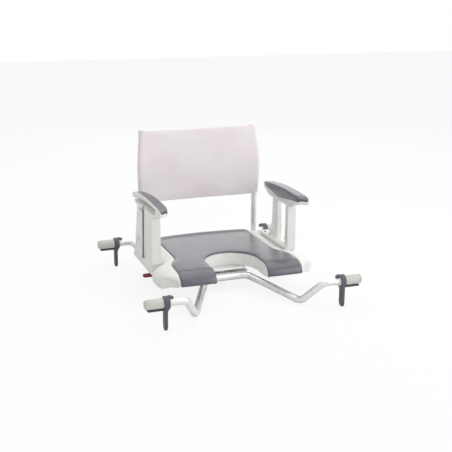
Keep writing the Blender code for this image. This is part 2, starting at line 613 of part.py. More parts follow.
def lock(parent, pin_hole):
    px, py = LEVER_PIVOT
    hinge = pivot("lever_hinge", (px, py, LEVER_Z), 0, parent)
    origin = (px, py, LEVER_Z)
    outline = [(-275, 1), (-241, 1), (-205, 9), (-172, 19), (-168, -3), (-152, -3), (-150, 34),
               (-157, 42), (-170, 41), (-237, 14), (-240.6, 11), (-275, 11)]
    arm = add("lever_arm", prism([(x * MM, y * MM) for x, y in outline], LEVER_Z,
                                 LEVER_Z + LEVER_T, "Z", origin), "steel", parent=hinge)
    post = add("lever_post", lathe([(0, BOLT_Z + 0.4 * MM), (2.5 * MM, BOLT_Z + 0.4 * MM),
                                    (2.5 * MM, LEVER_Z + 1 * MM), (0, LEVER_Z + 1 * MM)], 12,
                                   at=(px, py - LEVER_REACH)), None)
    cut(arm, post, "UNION")
    cut(arm, pin_hole)
    lo, hi = -9.8 * MM, 2.2 * MM
    sections = [(GRIP_X[0], 5, 3), (GRIP_X[0] + 3 * MM, 7.4, 5.2), (GRIP_X[0] + 12 * MM, 8, 6),
                (GRIP_X[1] - 2 * MM, 7.6, 6), (GRIP_X[1], 6.4, 5)]
    rows = []
    for x, half_y, half_z in sections:
        c = 2.2
        rows.append([(x, (6 + y) * MM, (lo + hi) / 2 + z * MM) for y, z in (
            (-half_y, -half_z + c), (-half_y + c, -half_z), (half_y - c, -half_z),
            (half_y, -half_z + c), (half_y, half_z - c), (half_y - c, half_z),
            (-half_y + c, half_z), (-half_y, half_z - c))])
    grip = add("lever_grip", loft(rows, [tuple(range(8))], origin), "red_plastic", parent=hinge)
    pocket = add("grip_pocket", box((-275.5 * MM, 0.6 * MM, LEVER_Z - GAP),
                                    (GRIP_X[1] + 6 * MM, 11.4 * MM, LEVER_Z + LEVER_T + GAP)), None)
    cut(grip, pocket)
    head = 7 * MM
    low, high = LEVER_Z - GAP, TURN_Z + TURN_T + GAP
    add("lever_pin", lathe([(0, low - 2 * MM), (head, low - 2 * MM), (head, low), (4 * MM, low),
                            (4 * MM, high), (head, high), (head, high + 2 * MM),
                            (0, high + 2 * MM)], 14, at=(px, py)), "steel", parent=parent)
    tip = -BOLT_TIP / MM
    slot = [(tip, -3.2), (tip, 3.2), (tip - 2, 4), (tip - 11, 4), (tip - 14, 6), (-139, 6),
            (-146, 10.4), (-174, 10.4), (-174, -6.4), (-146, -6.4), (-139, -6), (tip - 14, -6),
            (tip - 11, -4), (tip - 2, -4)]
    slide = pivot("bolt_slide", (-110 * MM, 0, BOLT_Z), 0, parent)
    bolt = add("lock_bolt", prism([(x * MM, y * MM) for x, y in slot], BOLT_Z, BOLT_Z + BOLT_T,
                                  "Z", (-110 * MM, 0, BOLT_Z)), "steel", parent=slide)
    window = add("bolt_window", box((px - 3.2 * MM, -2 * MM, -0.01), (px + 3.2 * MM, 7 * MM, 0)),
                 None)
    cut(bolt, window)


# Back

def back(parent):
    for tag, side in (("left", -1), ("right", 1)):
        corners = [(side * x * MM, y * MM, z * MM) for x, y, z in BACK_PATH]
        path = bent_path(corners, [0.5, 0.45], 3)
        add("back_tube_" + tag, tube(path, BACK_TUBE_R, BACK_TUBE_BORE, 10), "white_paint",
            parent=parent)
        x, y, z = corners[-1]
        lean = (Vector(corners[-1]) - Vector(corners[-2])).normalized()
        neck = BACK_TUBE_BORE - 0.8 * MM
        plug = lathe([(0, -8 * MM), (neck, -8 * MM), (neck, GAP), (BACK_TUBE_R, GAP),
                      (BACK_TUBE_R - 1 * MM, 2.5 * MM), (0, 3 * MM)], 14)
        plug.transform(lean.to_track_quat("Z", "Y").to_matrix().to_4x4())
        add("back_plug_" + tag, plug, "white_plastic", at=(x, y, z), parent=parent)
    back_cover(parent)


def back_cover(parent):
    """Fabric cover: a pocket round each tube and one panel between them, creased by its pull."""
    corners = [tuple(v * MM for v in p) for p in BACK_PATH]
    path = bent_path(corners, [0.5, 0.45], 12)
    path.append(path[-1] + (path[-1] - path[-2]).normalized() * 10 * MM)
    sides, columns = 12, 14
    rows = []
    levels = 9
    for level in range(levels):
        f = level / (levels - 1)
        z = COVER_Z[0] + (COVER_Z[1] - COVER_Z[0]) * f
        x, y = table(z, [(p.z, p.x) for p in path]), table(z, [(p.z, p.y) for p in path])
        row = []
        for side in (-1, 1):
            for r in (COVER_OUT, COVER_IN):
                row += [(side * x + r * cos(2 * pi * k / sides), y + r * sin(2 * pi * k / sides),
                         z) for k in range(sides)]
        left_front, right_front = row[10], row[2 * sides + 8]
        left_back, right_back = row[11], row[2 * sides + 7]
        for layer, (a, b) in enumerate(((left_front, right_front), (left_back, right_back))):
            for k in range(1, columns):
                t = k / columns
                px = a[0] + (b[0] - a[0]) * t
                hollow = 9 * MM * (1 - (2 * t - 1) ** 2)
                near_end = max(0.0, abs(2 * f - 1) - 0.35) / 0.65
                crease = 1.3 * MM * near_end * cos(px / (19 * MM)) * (1 - (2 * t - 1) ** 4)
                fold = 1.0 * MM * sin(px / (37 * MM) + 4 * f)
                row.append((px, left_front[1] + hollow + crease + fold + layer * PANEL_T, z))
        rows.append(row)
    cells = ring_cells(sides) + ring_cells(sides, 2 * sides)
    front = [10] + list(range(4 * sides, 4 * sides + columns - 1)) + [2 * sides + 8]
    rear = [11] + list(range(4 * sides + columns - 1, 4 * sides + 2 * columns - 2))
    rear += [2 * sides + 7]
    cells += [(rear[k], rear[k + 1], front[k + 1], front[k]) for k in range(columns)]
    cells = [tuple(reversed(c)) if c[0] in rear and c[-1] in front else c for c in cells]
    add("back_cover", loft(rows, cells), "fabric", parent=parent)


# Armrests

ARM_TOP = [(-135, 250), (-122, 257), (-105, 258.5), (-30, 261), (25, 261), (90, 257.5),
           (140, 252.5), (164, 249.5), (200, 241.5), (215, 237), (223, 233)]
ARM_LOW = [(-135, 234), (-122, 229), (-100, 226), (-40, 223), (40, 220.5), (120, 220), (180, 218.5),
           (223, 217)]
ARM_PAD_LOW = [(-135, 240.5), (-112, 240), (-50, 234), (0, 226.5), (40, 223.5), (100, 229.5),
               (150, 232), (200, 229), (223, 223.5)]
ARM_WIDE = [(-135, 33), (-126, 35.5), (-100, 36.5), (0, 37), (60, 36.5), (110, 34), (160, 28.5),
            (195, 22), (215, 15.5), (223, 11)]
ARM_RECESS = [(-76, 0), (-64, 12), (175, 12), (198, 7), (212, 2), (219, 0)]
ARM_INSET = [(-135, 2), (-128, 0.3), (-100, 0), (150, 0), (200, 1), (215, 2.5), (223, 5)]
ARM_STATIONS = (-135, -128, -115, -90, -76, -64, -45, 0, 45, 90, 130, 165, 192, 210, 219, 223)


def arm_rows(section, stations=ARM_STATIONS):
    rows = []
    for y in stations:
        top, low, pad = (table(y, t) for t in (ARM_TOP, ARM_LOW, ARM_PAD_LOW))
        inner, outer = (ARM_OUT / MM - table(y, t) for t in (ARM_WIDE, ARM_INSET))
        slant = 22 * max(0.0, min(1.0, (-60 - y) / 60))
        row = []
        for o, z in section(top, low, pad, inner, outer, table(y, ARM_RECESS)):
            shift = slant * ((o - inner) / (outer - inner) - 0.6)
            row.append((o * MM, (y - shift) * MM, z * MM))
        rows.append(row)
    return rows


def tray_section(top, low, pad, inner, outer, recess):
    """The outer side keeps its full width only in a rim along the top."""
    return [(outer, top - 9), (outer, top), (outer - 2.4, top + 0.2), (outer - 2.5, top - 7.6),
            (inner + 4, top - 7.6), (inner + 4, pad - 0.5), (inner + 0.3, pad - 0.5),
            (inner + 1.2, low + 1.2), (inner + 3, low), (outer - 4 - recess, low),
            (outer - 1.8 - recess, low + 2), (outer - 1.6 - recess, top - 11),
            (outer - 1.3, top - 10.4)]


def arm_pad_section(top, low, pad, inner, outer, _):
    edge = outer - 3.1
    wide = edge - inner
    lip = inner + min(3.2, 0.35 * wide)
    return [(edge, top - 7), (edge, top - 0.6), (edge - min(3.9, 0.2 * wide), top + 0.9),
            ((inner + edge) / 2, top + 1.2), (inner + min(6.5, 0.3 * wide), top - 0.6),
            (inner + min(2, 0.1 * wide), top - 4.5), (inner, max(top - 10, pad + 1)),
            (inner, pad), (lip, pad), (lip, top - 7)]


def post_rows(levels):
    """Rows of a post whose inner side slants back: z, front y, rear y, inner x, heel, inset."""
    rows = []
    for z, front, rear, inner, heel, inset in levels:
        out = ARM_OUT / MM - inset
        rows.append([(o * MM, y * MM, z * MM) for o, y in (
            (inner, front + heel), (inner, front + 1.5), (inner + 1.5, front), (out - 2, front),
            (out, front + 2), (out, rear - 2), (out - 2, rear))])
    return rows


def armrest(tag, side, parent):
    def place(rows):
        return rows if side > 0 else mirrored(rows)

    inner = ARM_IN / MM + 2.7
    high = POST_TOP / MM + 3
    front = place(post_rows([(47, -40, 50, inner, 16, 0), (70, -40, 49, inner, 16, 0),
                             (120, -40, 48, inner, 14, 0), (high, -40, 47, inner, 14, 0.5)]))
    back = inner + 10
    rear = place(post_rows([(12, 79, 205, back, 6, 0), (60, 79, 175, back, 6, 0),
                            (105, 79, 167, back, 6, 0), (150, 79, 160, back, 6, 1.5),
                            (high, 79, 153, back, 6, 4)]))
    frame = add("armrest_frame_" + tag, loft(front, [tuple(range(7))]), "white_plastic",
                parent=parent)
    post = add("rear_post_" + tag, loft(rear, [tuple(range(7))]), None)
    out = ARM_OUT / MM
    base = place([[(o * MM, y * MM, z * MM) for o, y in (
        (ARM_IN / MM, -38), (out - 4 - c, -38 + c), (out - 0.6 - c, -24), (out + 0.6 - c, 20),
        (out - 0.4 - c, 80), (out - 0.6 - c, 198 - c), (out - 5 - c, 205 - c),
        (out - 22, 205 - c), (ARM_IN / MM, 196 - c))]
        for z, c in ((5, 3.5), (9, 0.8), (14, 0), (54, 0))])
    foot = add("arm_foot_" + tag, loft(base, [tuple(range(9))]), None)
    skirt = place([[(o * MM, y * MM, z * MM) for o, y in (
        (out - 10.7, -36), (out - 0.8, -36), (out - 0.8, 168), (out - 10.7, 168))]
        for z in (43, 71)])
    wall = add("arm_skirt_" + tag, loft(skirt, [(0, 1, 2, 3)]), None)
    rail = place([[(o * MM, y * MM, z * MM) for o, z in (
        (inner + 3, low), (outer - 3, low), (outer, low + 3), (outer, top), (inner, top),
        (inner, low + 3))] for y, low, top, inner, outer in (
            (-72, 218, table(-72, ARM_LOW) - 0.5, inner + 5, out - 6),
            (-46, 206, table(-46, ARM_LOW) - 0.5, inner + 2.5, out - 2.5),
            (20, 204, table(20, ARM_LOW) - 0.5, inner + 2.5, out - 2.4),
            (130, 204, table(130, ARM_LOW) - 0.5, inner + 5, out - 2.4),
            (168, 206, table(168, ARM_LOW) - 0.5, inner + 10, out - 2.6),
            (196, 213, table(196, ARM_LOW) - 0.5, inner + 17, out - 5))])
    top = add("arm_rail_" + tag, loft(rail, [tuple(range(6))]), None)
    for tool in (top, post, foot, wall):
        cut(frame, tool, "UNION")

    for name, section, finish in (("armrest_tray_", tray_section, "white_plastic"),
                                  ("armrest_pad_", arm_pad_section, "slate_foam")):
        rows = place(arm_rows(section))
        add(name + tag, loft(rows, [tuple(range(len(rows[0])))]), finish, parent=parent)

    cap = lathe([(0, 0), (8 * MM, 0), (8 * MM, 1.2 * MM), (6.5 * MM, 2 * MM), (0, 2.3 * MM)], 16,
                "X")
    add("screw_cap_" + tag, cap, "white_plastic", at=(side * (ARM_OUT + GAP), 129 * MM, 93 * MM),
        parent=parent, turn=0 if side > 0 else pi)
    head = lathe([(0, 0), (3.6 * MM, 0), (3.6 * MM, 0.8 * MM), (2.4 * MM, 1.7 * MM),
                  (0, 1.7 * MM)], 12)
    for k, y in enumerate((138, 180)):
        add("arm_screw_%s_%d" % (tag, k + 1), head, "slate_plastic",
            at=(side * (inner + 10) * MM, y * MM, 54 * MM + GAP), parent=parent)


def build():
    for ob in list(bpy.data.objects):
        bpy.data.objects.remove(ob, do_unlink=True)
    pivot("rim_level", (0, 0, RIM_Z))
    bore = bath_frame()
    rim_clamps()
    swivel = pivot("swivel", (0, 0, 0))
    seat_shell(swivel)
    seat_pad(swivel)
    pin_hole = under_seat(swivel, bore)
    lock(swivel, pin_hole)
    back(swivel)
    for tag, side in (("left", -1), ("right", 1)):
        armrest(tag, side, swivel)


build()
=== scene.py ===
# %% [markdown]
# # A swivel bath seat
#
# A padded seat with a horseshoe opening, a fabric back and two armrests turns on a tube frame that
# lies across a bathtub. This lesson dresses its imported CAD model: every visible piece is either a
# finer mesh made here, or the CAD solid itself with a better finish. Lengths are in metres, or in
# millimetres where a comment says so, and every piece is drawn where it stands, so its object stays
# at the origin.

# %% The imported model
import bmesh
import bpy
from math import cos, pi, radians, sin
from mathutils import Matrix, Vector


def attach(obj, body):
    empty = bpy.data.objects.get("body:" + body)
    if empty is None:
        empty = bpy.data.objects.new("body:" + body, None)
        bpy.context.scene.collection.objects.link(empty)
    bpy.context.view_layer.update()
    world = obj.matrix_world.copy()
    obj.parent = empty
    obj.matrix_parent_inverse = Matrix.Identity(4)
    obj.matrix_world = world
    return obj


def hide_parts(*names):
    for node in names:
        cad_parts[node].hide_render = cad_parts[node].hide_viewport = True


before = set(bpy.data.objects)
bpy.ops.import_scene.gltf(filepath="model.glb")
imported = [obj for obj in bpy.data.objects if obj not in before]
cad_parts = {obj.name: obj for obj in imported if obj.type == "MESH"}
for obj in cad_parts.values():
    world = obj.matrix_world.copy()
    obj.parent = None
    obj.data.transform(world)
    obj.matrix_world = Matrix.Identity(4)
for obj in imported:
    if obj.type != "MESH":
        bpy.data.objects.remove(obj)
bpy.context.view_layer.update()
MM = 0.001
RIM = 0.068  # the bathtub's rims, above the lower ends of the clamps' legs
CORNERS = (("front_left", -1, -1), ("front_right", 1, -1), ("rear_left", -1, 1),
           ("rear_right", 1, 1))
SIDES = (("left", -1), ("right", 1))

# %% [markdown]
# ## Camera
#
# The lens and the place come from fitting straight edges and known corners of the seat, so that the
# render overlays the photograph. The three axes are built by hand, because the camera leans by a
# quarter of a degree, which a track-to constraint can't do.

# %% Camera
AZIMUTH, ELEVATION, LEAN = radians(-20.40), radians(15.88), radians(0.256)
CAMERA_AT = Vector((-0.9745, -2.6624, 1.0210))
backward = Vector((sin(AZIMUTH) * cos(ELEVATION), -cos(AZIMUTH) * cos(ELEVATION), sin(ELEVATION)))
level = Vector((cos(AZIMUTH), sin(AZIMUTH), 0))
upward = level.cross(-backward)
across = level * cos(LEAN) + upward * sin(LEAN)
upright = upward * cos(LEAN) - level * sin(LEAN)


def put(name, data):
    """A new object in the scene, at the origin."""
    ob = bpy.data.objects.new(name, data)
    bpy.context.scene.collection.objects.link(ob)
    return ob


camera = put("camera", bpy.data.cameras.new("camera"))
camera.matrix_world = Matrix.Translation(CAMERA_AT) @ Matrix(
    (across, upright, backward)).transposed().to_4x4()
camera.data.lens, camera.data.sensor_width = 68.3, 36.0
camera.data.clip_start, camera.data.clip_end = 0.05, 60.0
bpy.context.scene.camera = camera
print("camera at %.2f m from the origin" % CAMERA_AT.length)

# %% [markdown]
# ## Helpers for shapes
#
# Moulded pieces here are lofts: one cross-section, drawn again at many stations. `soften` cuts each
# corner of a line in two, once or more, which gives the small radius that a mould needs. Lines of
# equal length stay of equal length, so the sections still match each other. `wall_loft` joins two
# lines, an outer and an inner one, into a closed wall.

# %% Helpers: tables and lines
def at(side, x, y, z):
    """A point given in millimetres, its height above the rims; a side of -1 mirrors it."""
    return Vector((side * x * MM, y * MM, RIM + z * MM))


def table(x, pairs):
    """A value read from a table with straight lines between its rows."""
    if x <= pairs[0][0]:
        return pairs[0][1]
    for (a, va), (b, vb) in zip(pairs, pairs[1:]):
        if x <= b:
            return va + (vb - va) * (x - a) / (b - a)
    return pairs[-1][1]


def eased(x, pairs, reach):
    """The same table with its kinks rounded over a reach."""
    steps = 6
    return sum(table(x + reach * k / steps, pairs) for k in range(-steps, steps + 1)) / (
        2 * steps + 1)


def soften(points, radius, rounds, closed=False):
    """A line with its corners cut, each round with a smaller cut than the one before."""
    for _ in range(rounds):
        ring = [points[-1]] + points + [points[0]] if closed else points
        out = [] if closed else [points[0]]
        for a, b, c in zip(ring, ring[1:], ring[2:]):
            for other in (a, c):
                arm = other - b
                reach = min(radius, arm.length * 0.34)
                out.append(b + arm * (reach / arm.length) if arm.length > 1e-9 else b.copy())
        if not closed:
            out.append(points[-1])
        points, radius = out, radius * 0.42
    return points


def rounded(profile, radius):
    """A (radius, height) profile with softened corners."""
    line = soften([Vector((r, h, 0)) for r, h in profile], radius, 2)
    return [(p.x, p.y) for p in line]


# %% Helpers: meshes
def smooth(mesh):
    mesh.polygons.foreach_set("use_smooth", [True] * len(mesh.polygons))


def dress(name, mesh, finish, sharp=35):
    """A piece from a mesh: smooth, but for edges sharper than an angle, and with its finish."""
    smooth(mesh)
    mesh.set_sharp_from_angle(angle=radians(sharp))
    mesh.materials.clear()
    mesh.materials.append(finish)
    print(name, len(mesh.polygons), "faces")
    return put(name, mesh)


def piece_from(name, verts, faces, finish, sharp=35, merge=0.0):
    mesh = bpy.data.meshes.new(name)
    bm = bmesh.new()
    made = [bm.verts.new(v) for v in verts]
    for face in faces:
        bm.faces.new([made[i] for i in face])
    if merge:
        bmesh.ops.remove_doubles(bm, verts=bm.verts, dist=merge)
    bmesh.ops.recalc_face_normals(bm, faces=bm.faces)
    if bm.calc_volume(signed=True) < 0:
        bmesh.ops.reverse_faces(bm, faces=bm.faces)
    bm.to_mesh(mesh)
    bm.free()
    return dress(name, mesh, finish, sharp)


def wall_loft(name, rows, finish, sharp):
    """rows[k] is an (outer line, inner line) pair of equal lengths."""
    n = len(rows[0][0])
    verts = [p for outer, inner in rows for p in outer + inner]
    faces = []
    for k in range(len(rows) - 1):
        a, b = 2 * n * k, 2 * n * (k + 1)
        for i in range(n - 1):
            faces.append((a + i, a + i + 1, b + i + 1, b + i))
            faces.append((a + n + i, b + n + i, b + n + i + 1, a + n + i + 1))
        for i in (0, n - 1):
            faces.append((a + i, b + i, b + n + i, a + n + i))
    for a in (0, 2 * n * (len(rows) - 1)):
        faces += [(a + i, a + i + 1, a + n + i + 1, a + n + i) for i in range(n - 1)]
    return piece_from(name, verts, faces, finish, sharp)


def solid_loft(name, rows, finish, sharp=35):
    """rows[k] is a closed section."""
    n = len(rows[0])
    verts = [p for row in rows for p in row]
    faces = [(n * k + i, n * k + (i + 1) % n, n * (k + 1) + (i + 1) % n, n * (k + 1) + i)
             for k in range(len(rows) - 1) for i in range(n)]
    faces += [tuple(range(n)), tuple(range(n * (len(rows) - 1), n * len(rows)))]
    return piece_from(name, verts, faces, finish, sharp)


def turned(name, profile, finish, centre, axis, sides):
    """A (radius, height) profile turned about an axis through centre, closed by its last line."""
    axis = Vector(axis).normalized()
    one = axis.orthogonal().normalized()
    two = axis.cross(one)
    verts, faces = [], []
    n = len(profile)
    for k in range(sides):
        a = 2 * pi * k / sides
        spoke = one * cos(a) + two * sin(a)
        verts += [Vector(centre) + spoke * r + axis * h for r, h in profile]
    for k in range(sides):
        m = (k + 1) % sides
        for i in range(n):
            j = (i + 1) % n
            if profile[i][0] < 1e-7 and profile[j][0] < 1e-7:
                continue
            faces.append((k * n + i, m * n + i, m * n + j, k * n + j))
    return piece_from(name, verts, faces, finish, merge=1e-6)


# %% Helpers: work on whole pieces
def cad_copy(name):
    """The CAD solid's mesh as one welded shell, in the place where it stands."""
    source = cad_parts[name]
    mesh = source.data.copy()
    mesh.transform(source.matrix_world)
    bm = bmesh.new()
    bm.from_mesh(mesh)
    bmesh.ops.remove_doubles(bm, verts=bm.verts, dist=2e-6)
    bm.to_mesh(mesh)
    bm.free()
    return mesh


def baked(ob):
    """The piece with its modifiers applied."""
    graph = bpy.context.evaluated_depsgraph_get()
    mesh = bpy.data.meshes.new_from_object(ob.evaluated_get(graph))
    ob.modifiers.clear()
    ob.data = mesh
    return ob


def cut_out(ob, tool):
    """Takes a tool's shape out of a piece and throws the tool away."""
    cut = ob.modifiers.new("cut", "BOOLEAN")
    cut.object, cut.solver = tool, "EXACT"
    baked(ob)
    bpy.data.objects.remove(tool)


def moulded(ob, voxel, smoothing, keep):
    """Skin of all the shells in a piece as one moulding, its edges rounded like a mould's."""
    skin = ob.modifiers.new("skin", "REMESH")
    skin.mode, skin.voxel_size, skin.use_smooth_shade = "VOXEL", voxel, True
    ease = ob.modifiers.new("ease", "SMOOTH")
    ease.factor, ease.iterations = 0.5, smoothing
    ob.modifiers.new("fewer", "DECIMATE").ratio = keep
    baked(ob)
    smooth(ob.data)
    print(ob.name, "moulded with", len(ob.data.polygons), "faces")
    return ob


def joined(ob, others):
    """A piece with the meshes of other pieces put into its own."""
    bm = bmesh.new()
    for part in (ob, *others):
        bm.from_mesh(part.data)
    bm.to_mesh(ob.data)
    bm.free()
    for other in others:
        bpy.data.objects.remove(other)
    return ob


def turned_copy(ob, name, matrix):
    """A second piece from the same mesh, moved by a matrix that is kept in its mesh."""
    mesh = ob.data.copy()
    mesh.transform(matrix)
    return put(name, mesh)


# %% [markdown]
# ## Finishes
#
# Each finish is one Principled shader whose colour, roughness and bump come from noise in Object
# coordinates, at the scale that the real surface has: a fraction of a millimetre for moulded grain,
# a few millimetres for the flow of powder paint, a few centimetres for handling marks. `feed` sets
# a node's inputs, and where it is given another node's output it links that instead.

# %% Finishes: the nodes that they share
def feed(tree, made, values):
    """Sets a node's inputs; a value that is another node's output is linked."""
    for socket, value in values.items():
        if isinstance(value, bpy.types.NodeSocket):
            tree.links.new(value, made.inputs[socket])
        else:
            made.inputs[socket].default_value = value


def node(tree, kind, values=(), **props):
    made = tree.nodes.new(kind)
    for key, value in props.items():
        setattr(made, key, value)
    feed(tree, made, dict(values))
    return made


def new_finish(name, colour, roughness, metallic=0.0, specular=0.5, coat=0.0, sheen=0.0):
    mat = bpy.data.materials.new(name)
    mat.use_nodes = True
    mat.diffuse_color = (*colour, 1)
    shader = mat.node_tree.nodes["Principled BSDF"]
    feed(mat.node_tree, shader, {
        "Base Color": (*colour, 1), "Roughness": roughness, "Metallic": metallic,
        "Specular IOR Level": specular, "Coat Weight": coat, "Coat Roughness": 0.30,
        "Sheen Weight": sheen, "Sheen Roughness": 0.45})
    print("finish", name)
    return mat, mat.node_tree, shader


def place(tree, scale=(1, 1, 1), output="Object"):
    """The coordinates that a pattern is drawn in."""
    coords = node(tree, "ShaderNodeTexCoord").outputs[output]
    return node(tree, "ShaderNodeMapping", {"Vector": coords, "Scale": scale}).outputs["Vector"]


def noise(tree, vector, scale, detail):
    return node(tree, "ShaderNodeTexNoise",
                {"Vector": vector, "Scale": scale, "Detail": detail}).outputs["Fac"]


def ramp(tree, factor, stops):
    made = node(tree, "ShaderNodeValToRGB", {"Fac": factor})
    bar = made.color_ramp.elements
    while len(bar) < len(stops):
        bar.new(0.5)
    for element, (place_on_bar, colour) in zip(bar, stops):
        element.position, element.color = place_on_bar, (*colour, 1)
    return made.outputs["Color"]


def mottled(tree, shader, vector, colour, scale, darker, lighter):
    """Slow patches of a darker and a lighter tone over the colour."""
    low, high = [tuple(min(1, c * share) for c in colour) for share in (darker, lighter)]
    stops = [(0.32, low), (0.5, colour), (0.7, high)]
    feed(tree, shader, {"Base Color": ramp(tree, noise(tree, vector, scale, 4), stops)})


def uneven_gloss(tree, shader, factor, low, high):
    """Spreads the middle of a noise over a range of roughness."""
    made = node(tree, "ShaderNodeMapRange", {"Value": factor, "From Min": 0.3, "From Max": 0.7,
                                             "To Min": low, "To Max": high})
    feed(tree, shader, {"Roughness": made.outputs["Result"]})


def bumps(tree, shader, layers):
    """Height layers, each a (factor, distance in metres, strength), stacked on the shader."""
    below = {}
    for factor, distance, strength in layers:
        made = node(tree, "ShaderNodeBump",
                    {"Height": factor, "Distance": distance, "Strength": strength, **below})
        below = {"Normal": made.outputs["Normal"]}
    feed(tree, shader, below)


# %% [markdown]
# ### Moulded plastics, paint and rubber
#
# The shell and the armrests are warm white, satin and finely spark-eroded. The tubes are powder
# coated over drawn steel, so their paint flows slightly along the tube. The clamps are a darker,
# harder slate plastic, and the rim sleeves a soft grey-green rubber that takes fingermarks.

# %% Moulded plastics, paint and rubber
def moulded_plastic(name, colour, roughness, grain):
    mat, tree, shader = new_finish(name, colour, roughness)
    vector = place(tree)
    mottled(tree, shader, vector, colour, 9, 0.965, 1.02)
    uneven_gloss(tree, shader, noise(tree, vector, 38, 5), roughness - 0.05, roughness + 0.07)
    bumps(tree, shader, [(noise(tree, vector, 24, 3), 0.0006, 0.12),
                         (noise(tree, vector, 2400, 2), 0.00005, grain)])
    return mat


white_plastic = moulded_plastic("warm_white_plastic", (0.80, 0.80, 0.775), 0.40, 0.25)
slate_plastic = moulded_plastic("slate_clamp_plastic", (0.088, 0.084, 0.112), 0.46, 0.5)
red_plastic = moulded_plastic("crimson_grip_plastic", (0.20, 0.004, 0.024), 0.30, 0.15)

PAINT = (0.80, 0.80, 0.79)
tube_paint, tree, shader = new_finish("silver_white_paint", PAINT, 0.24, metallic=0.6, coat=0.25)
vector = place(tree)
mottled(tree, shader, vector, PAINT, 30, 0.97, 1.02)
bumps(tree, shader, [(noise(tree, vector, 420, 3), 0.00006, 0.25)])

RUBBER = (0.57, 0.58, 0.54)
pale_rubber, tree, shader = new_finish("pale_rubber", RUBBER, 0.58)
vector = place(tree)
mottled(tree, shader, vector, RUBBER, 22, 0.93, 1.04)
uneven_gloss(tree, shader, noise(tree, vector, 60, 5), 0.50, 0.68)
bumps(tree, shader, [(noise(tree, vector, 1500, 3), 0.00008, 0.5)])

# %% [markdown]
# ### Skinned foam
#
# The seat pad and the armrest pads are foam with a skin that grew in the mould. Seen from above
# they are dark slate; from low down the skin mirrors the bright room and looks pale, which is plain
# reflection and needs no painted light. The grain is a leather-like mesh of cells, 1.6 mm across.

# %% Skinned foam
SLATE = (0.070, 0.065, 0.088)
slate_skin, tree, shader = new_finish("slate_foam_skin", SLATE, 0.33, specular=0.7, coat=0.55)
vector = place(tree)
mottled(tree, shader, vector, SLATE, 14, 0.93, 1.07)
cells = node(tree, "ShaderNodeTexVoronoi", {"Vector": vector, "Scale": 620.0},
             feature="DISTANCE_TO_EDGE")
uneven_gloss(tree, shader, noise(tree, vector, 45, 5), 0.30, 0.38)
bumps(tree, shader, [(noise(tree, vector, 17, 3), 0.0008, 0.10),
                     (cells.outputs["Distance"], 0.00012, 0.22),
                     (noise(tree, vector, 1900, 2), 0.00003, 0.25)])

# %% [markdown]
# ### Metal
#
# The hidden plates, the spindle and the clamps' pins are plain steel. Stretched noise gives the
# drawn lines of bar and plate, and a second one the faint stains of a wet room.

# %% Metal
STEEL = (0.56, 0.565, 0.57)
steel, tree, shader = new_finish("stainless_steel", STEEL, 0.28, metallic=1.0)
drawn = noise(tree, place(tree, (18, 900, 900)), 1, 4)
uneven_gloss(tree, shader, drawn, 0.20, 0.38)
mottled(tree, shader, place(tree), STEEL, 40, 0.88, 1.05)
bumps(tree, shader, [(drawn, 0.00003, 0.35)])

# %% [markdown]
# ### Sling fabric
#
# The back is a pale woven polyester with a breath of pink. Its weave runs with the cloth, so it is
# drawn in the piece's own UV map, whose units are metres of flat fabric: two wave textures cross,
# warp and weft, 1.1 mm apart. A slow noise shifts the tint between grey and pink, as the dye lot
# does.

# %% Sling fabric
WAVE_UNIT = 20  # the wave texture turns through 20 radians in a length of 1 / scale


def weave(name, colour, tint, pitch):
    mat, tree, shader = new_finish(name, colour, 0.82, specular=0.3, sheen=0.1)
    flat = place(tree, output="UV")
    thread = {"Vector": flat, "Scale": 2 * pi / pitch / WAVE_UNIT, "Distortion": 0.35,
              "Detail": 1.0}
    warp, weft = [node(tree, "ShaderNodeTexWave", thread, bands_direction=way).outputs["Fac"]
                  for way in ("X", "Y")]
    cross = node(tree, "ShaderNodeMath", {0: warp, 1: weft}, operation="MULTIPLY").outputs[0]
    slow = ramp(tree, noise(tree, flat, 5.5, 3), [(0.36, colour), (0.68, tint)])
    shade = ramp(tree, cross, [(0.0, (0.90, 0.90, 0.90)), (0.8, (1, 1, 1))])
    mix = node(tree, "ShaderNodeMix", {"Factor": 1.0, "A": slow, "B": shade}, data_type="RGBA",
               blend_type="MULTIPLY")
    feed(tree, shader, {"Base Color": mix.outputs["Result"]})
    bumps(tree, shader, [(noise(tree, flat, 60, 3), 0.0006, 0.25), (cross, 0.00022, 0.6)])
    return mat


sling_cloth = weave("sling_fabric", (0.95, 0.895, 0.895), (0.90, 0.815, 0.825), 0.0011)

# %% [markdown]
# ## The two frame tubes
#
# Each tube is drawn wire-thin as seven straight runs, and a Geometry Nodes tree does what the tube
# bender does: it rolls each corner to its own radius, then sweeps a circle along the line. A bend's
# radius travels with its corner as an attribute, so one tree makes both the frame and the back
# tubes.

# %% A Geometry Nodes tree that bends a tube
def tree_with(name, inputs):
    """A tree with named inputs, and its two end nodes."""
    tree = bpy.data.node_groups.new(name, "GeometryNodeTree")
    tree.interface.new_socket("Geometry", in_out="INPUT", socket_type="NodeSocketGeometry")
    for label, kind in inputs:
        tree.interface.new_socket(label, in_out="INPUT", socket_type="NodeSocket" + kind)
    tree.interface.new_socket("Geometry", in_out="OUTPUT", socket_type="NodeSocketGeometry")
    return tree, tree.nodes.new("NodeGroupInput"), tree.nodes.new("NodeGroupOutput")


def chain_up(tree, entry, steps, leave):
    """Links the steps one after the other, and ends the tree as the export needs it."""
    real = node(tree, "GeometryNodeRealizeInstances")
    coat = node(tree, "GeometryNodeSetMaterial", {"Material": entry.outputs["Finish"]})
    line = [entry, *steps, real, coat, leave]
    for one, two in zip(line, line[1:]):
        tree.links.new(one.outputs[0], two.inputs[0])
    print("tree", tree.name, "has", len(tree.nodes), "nodes")


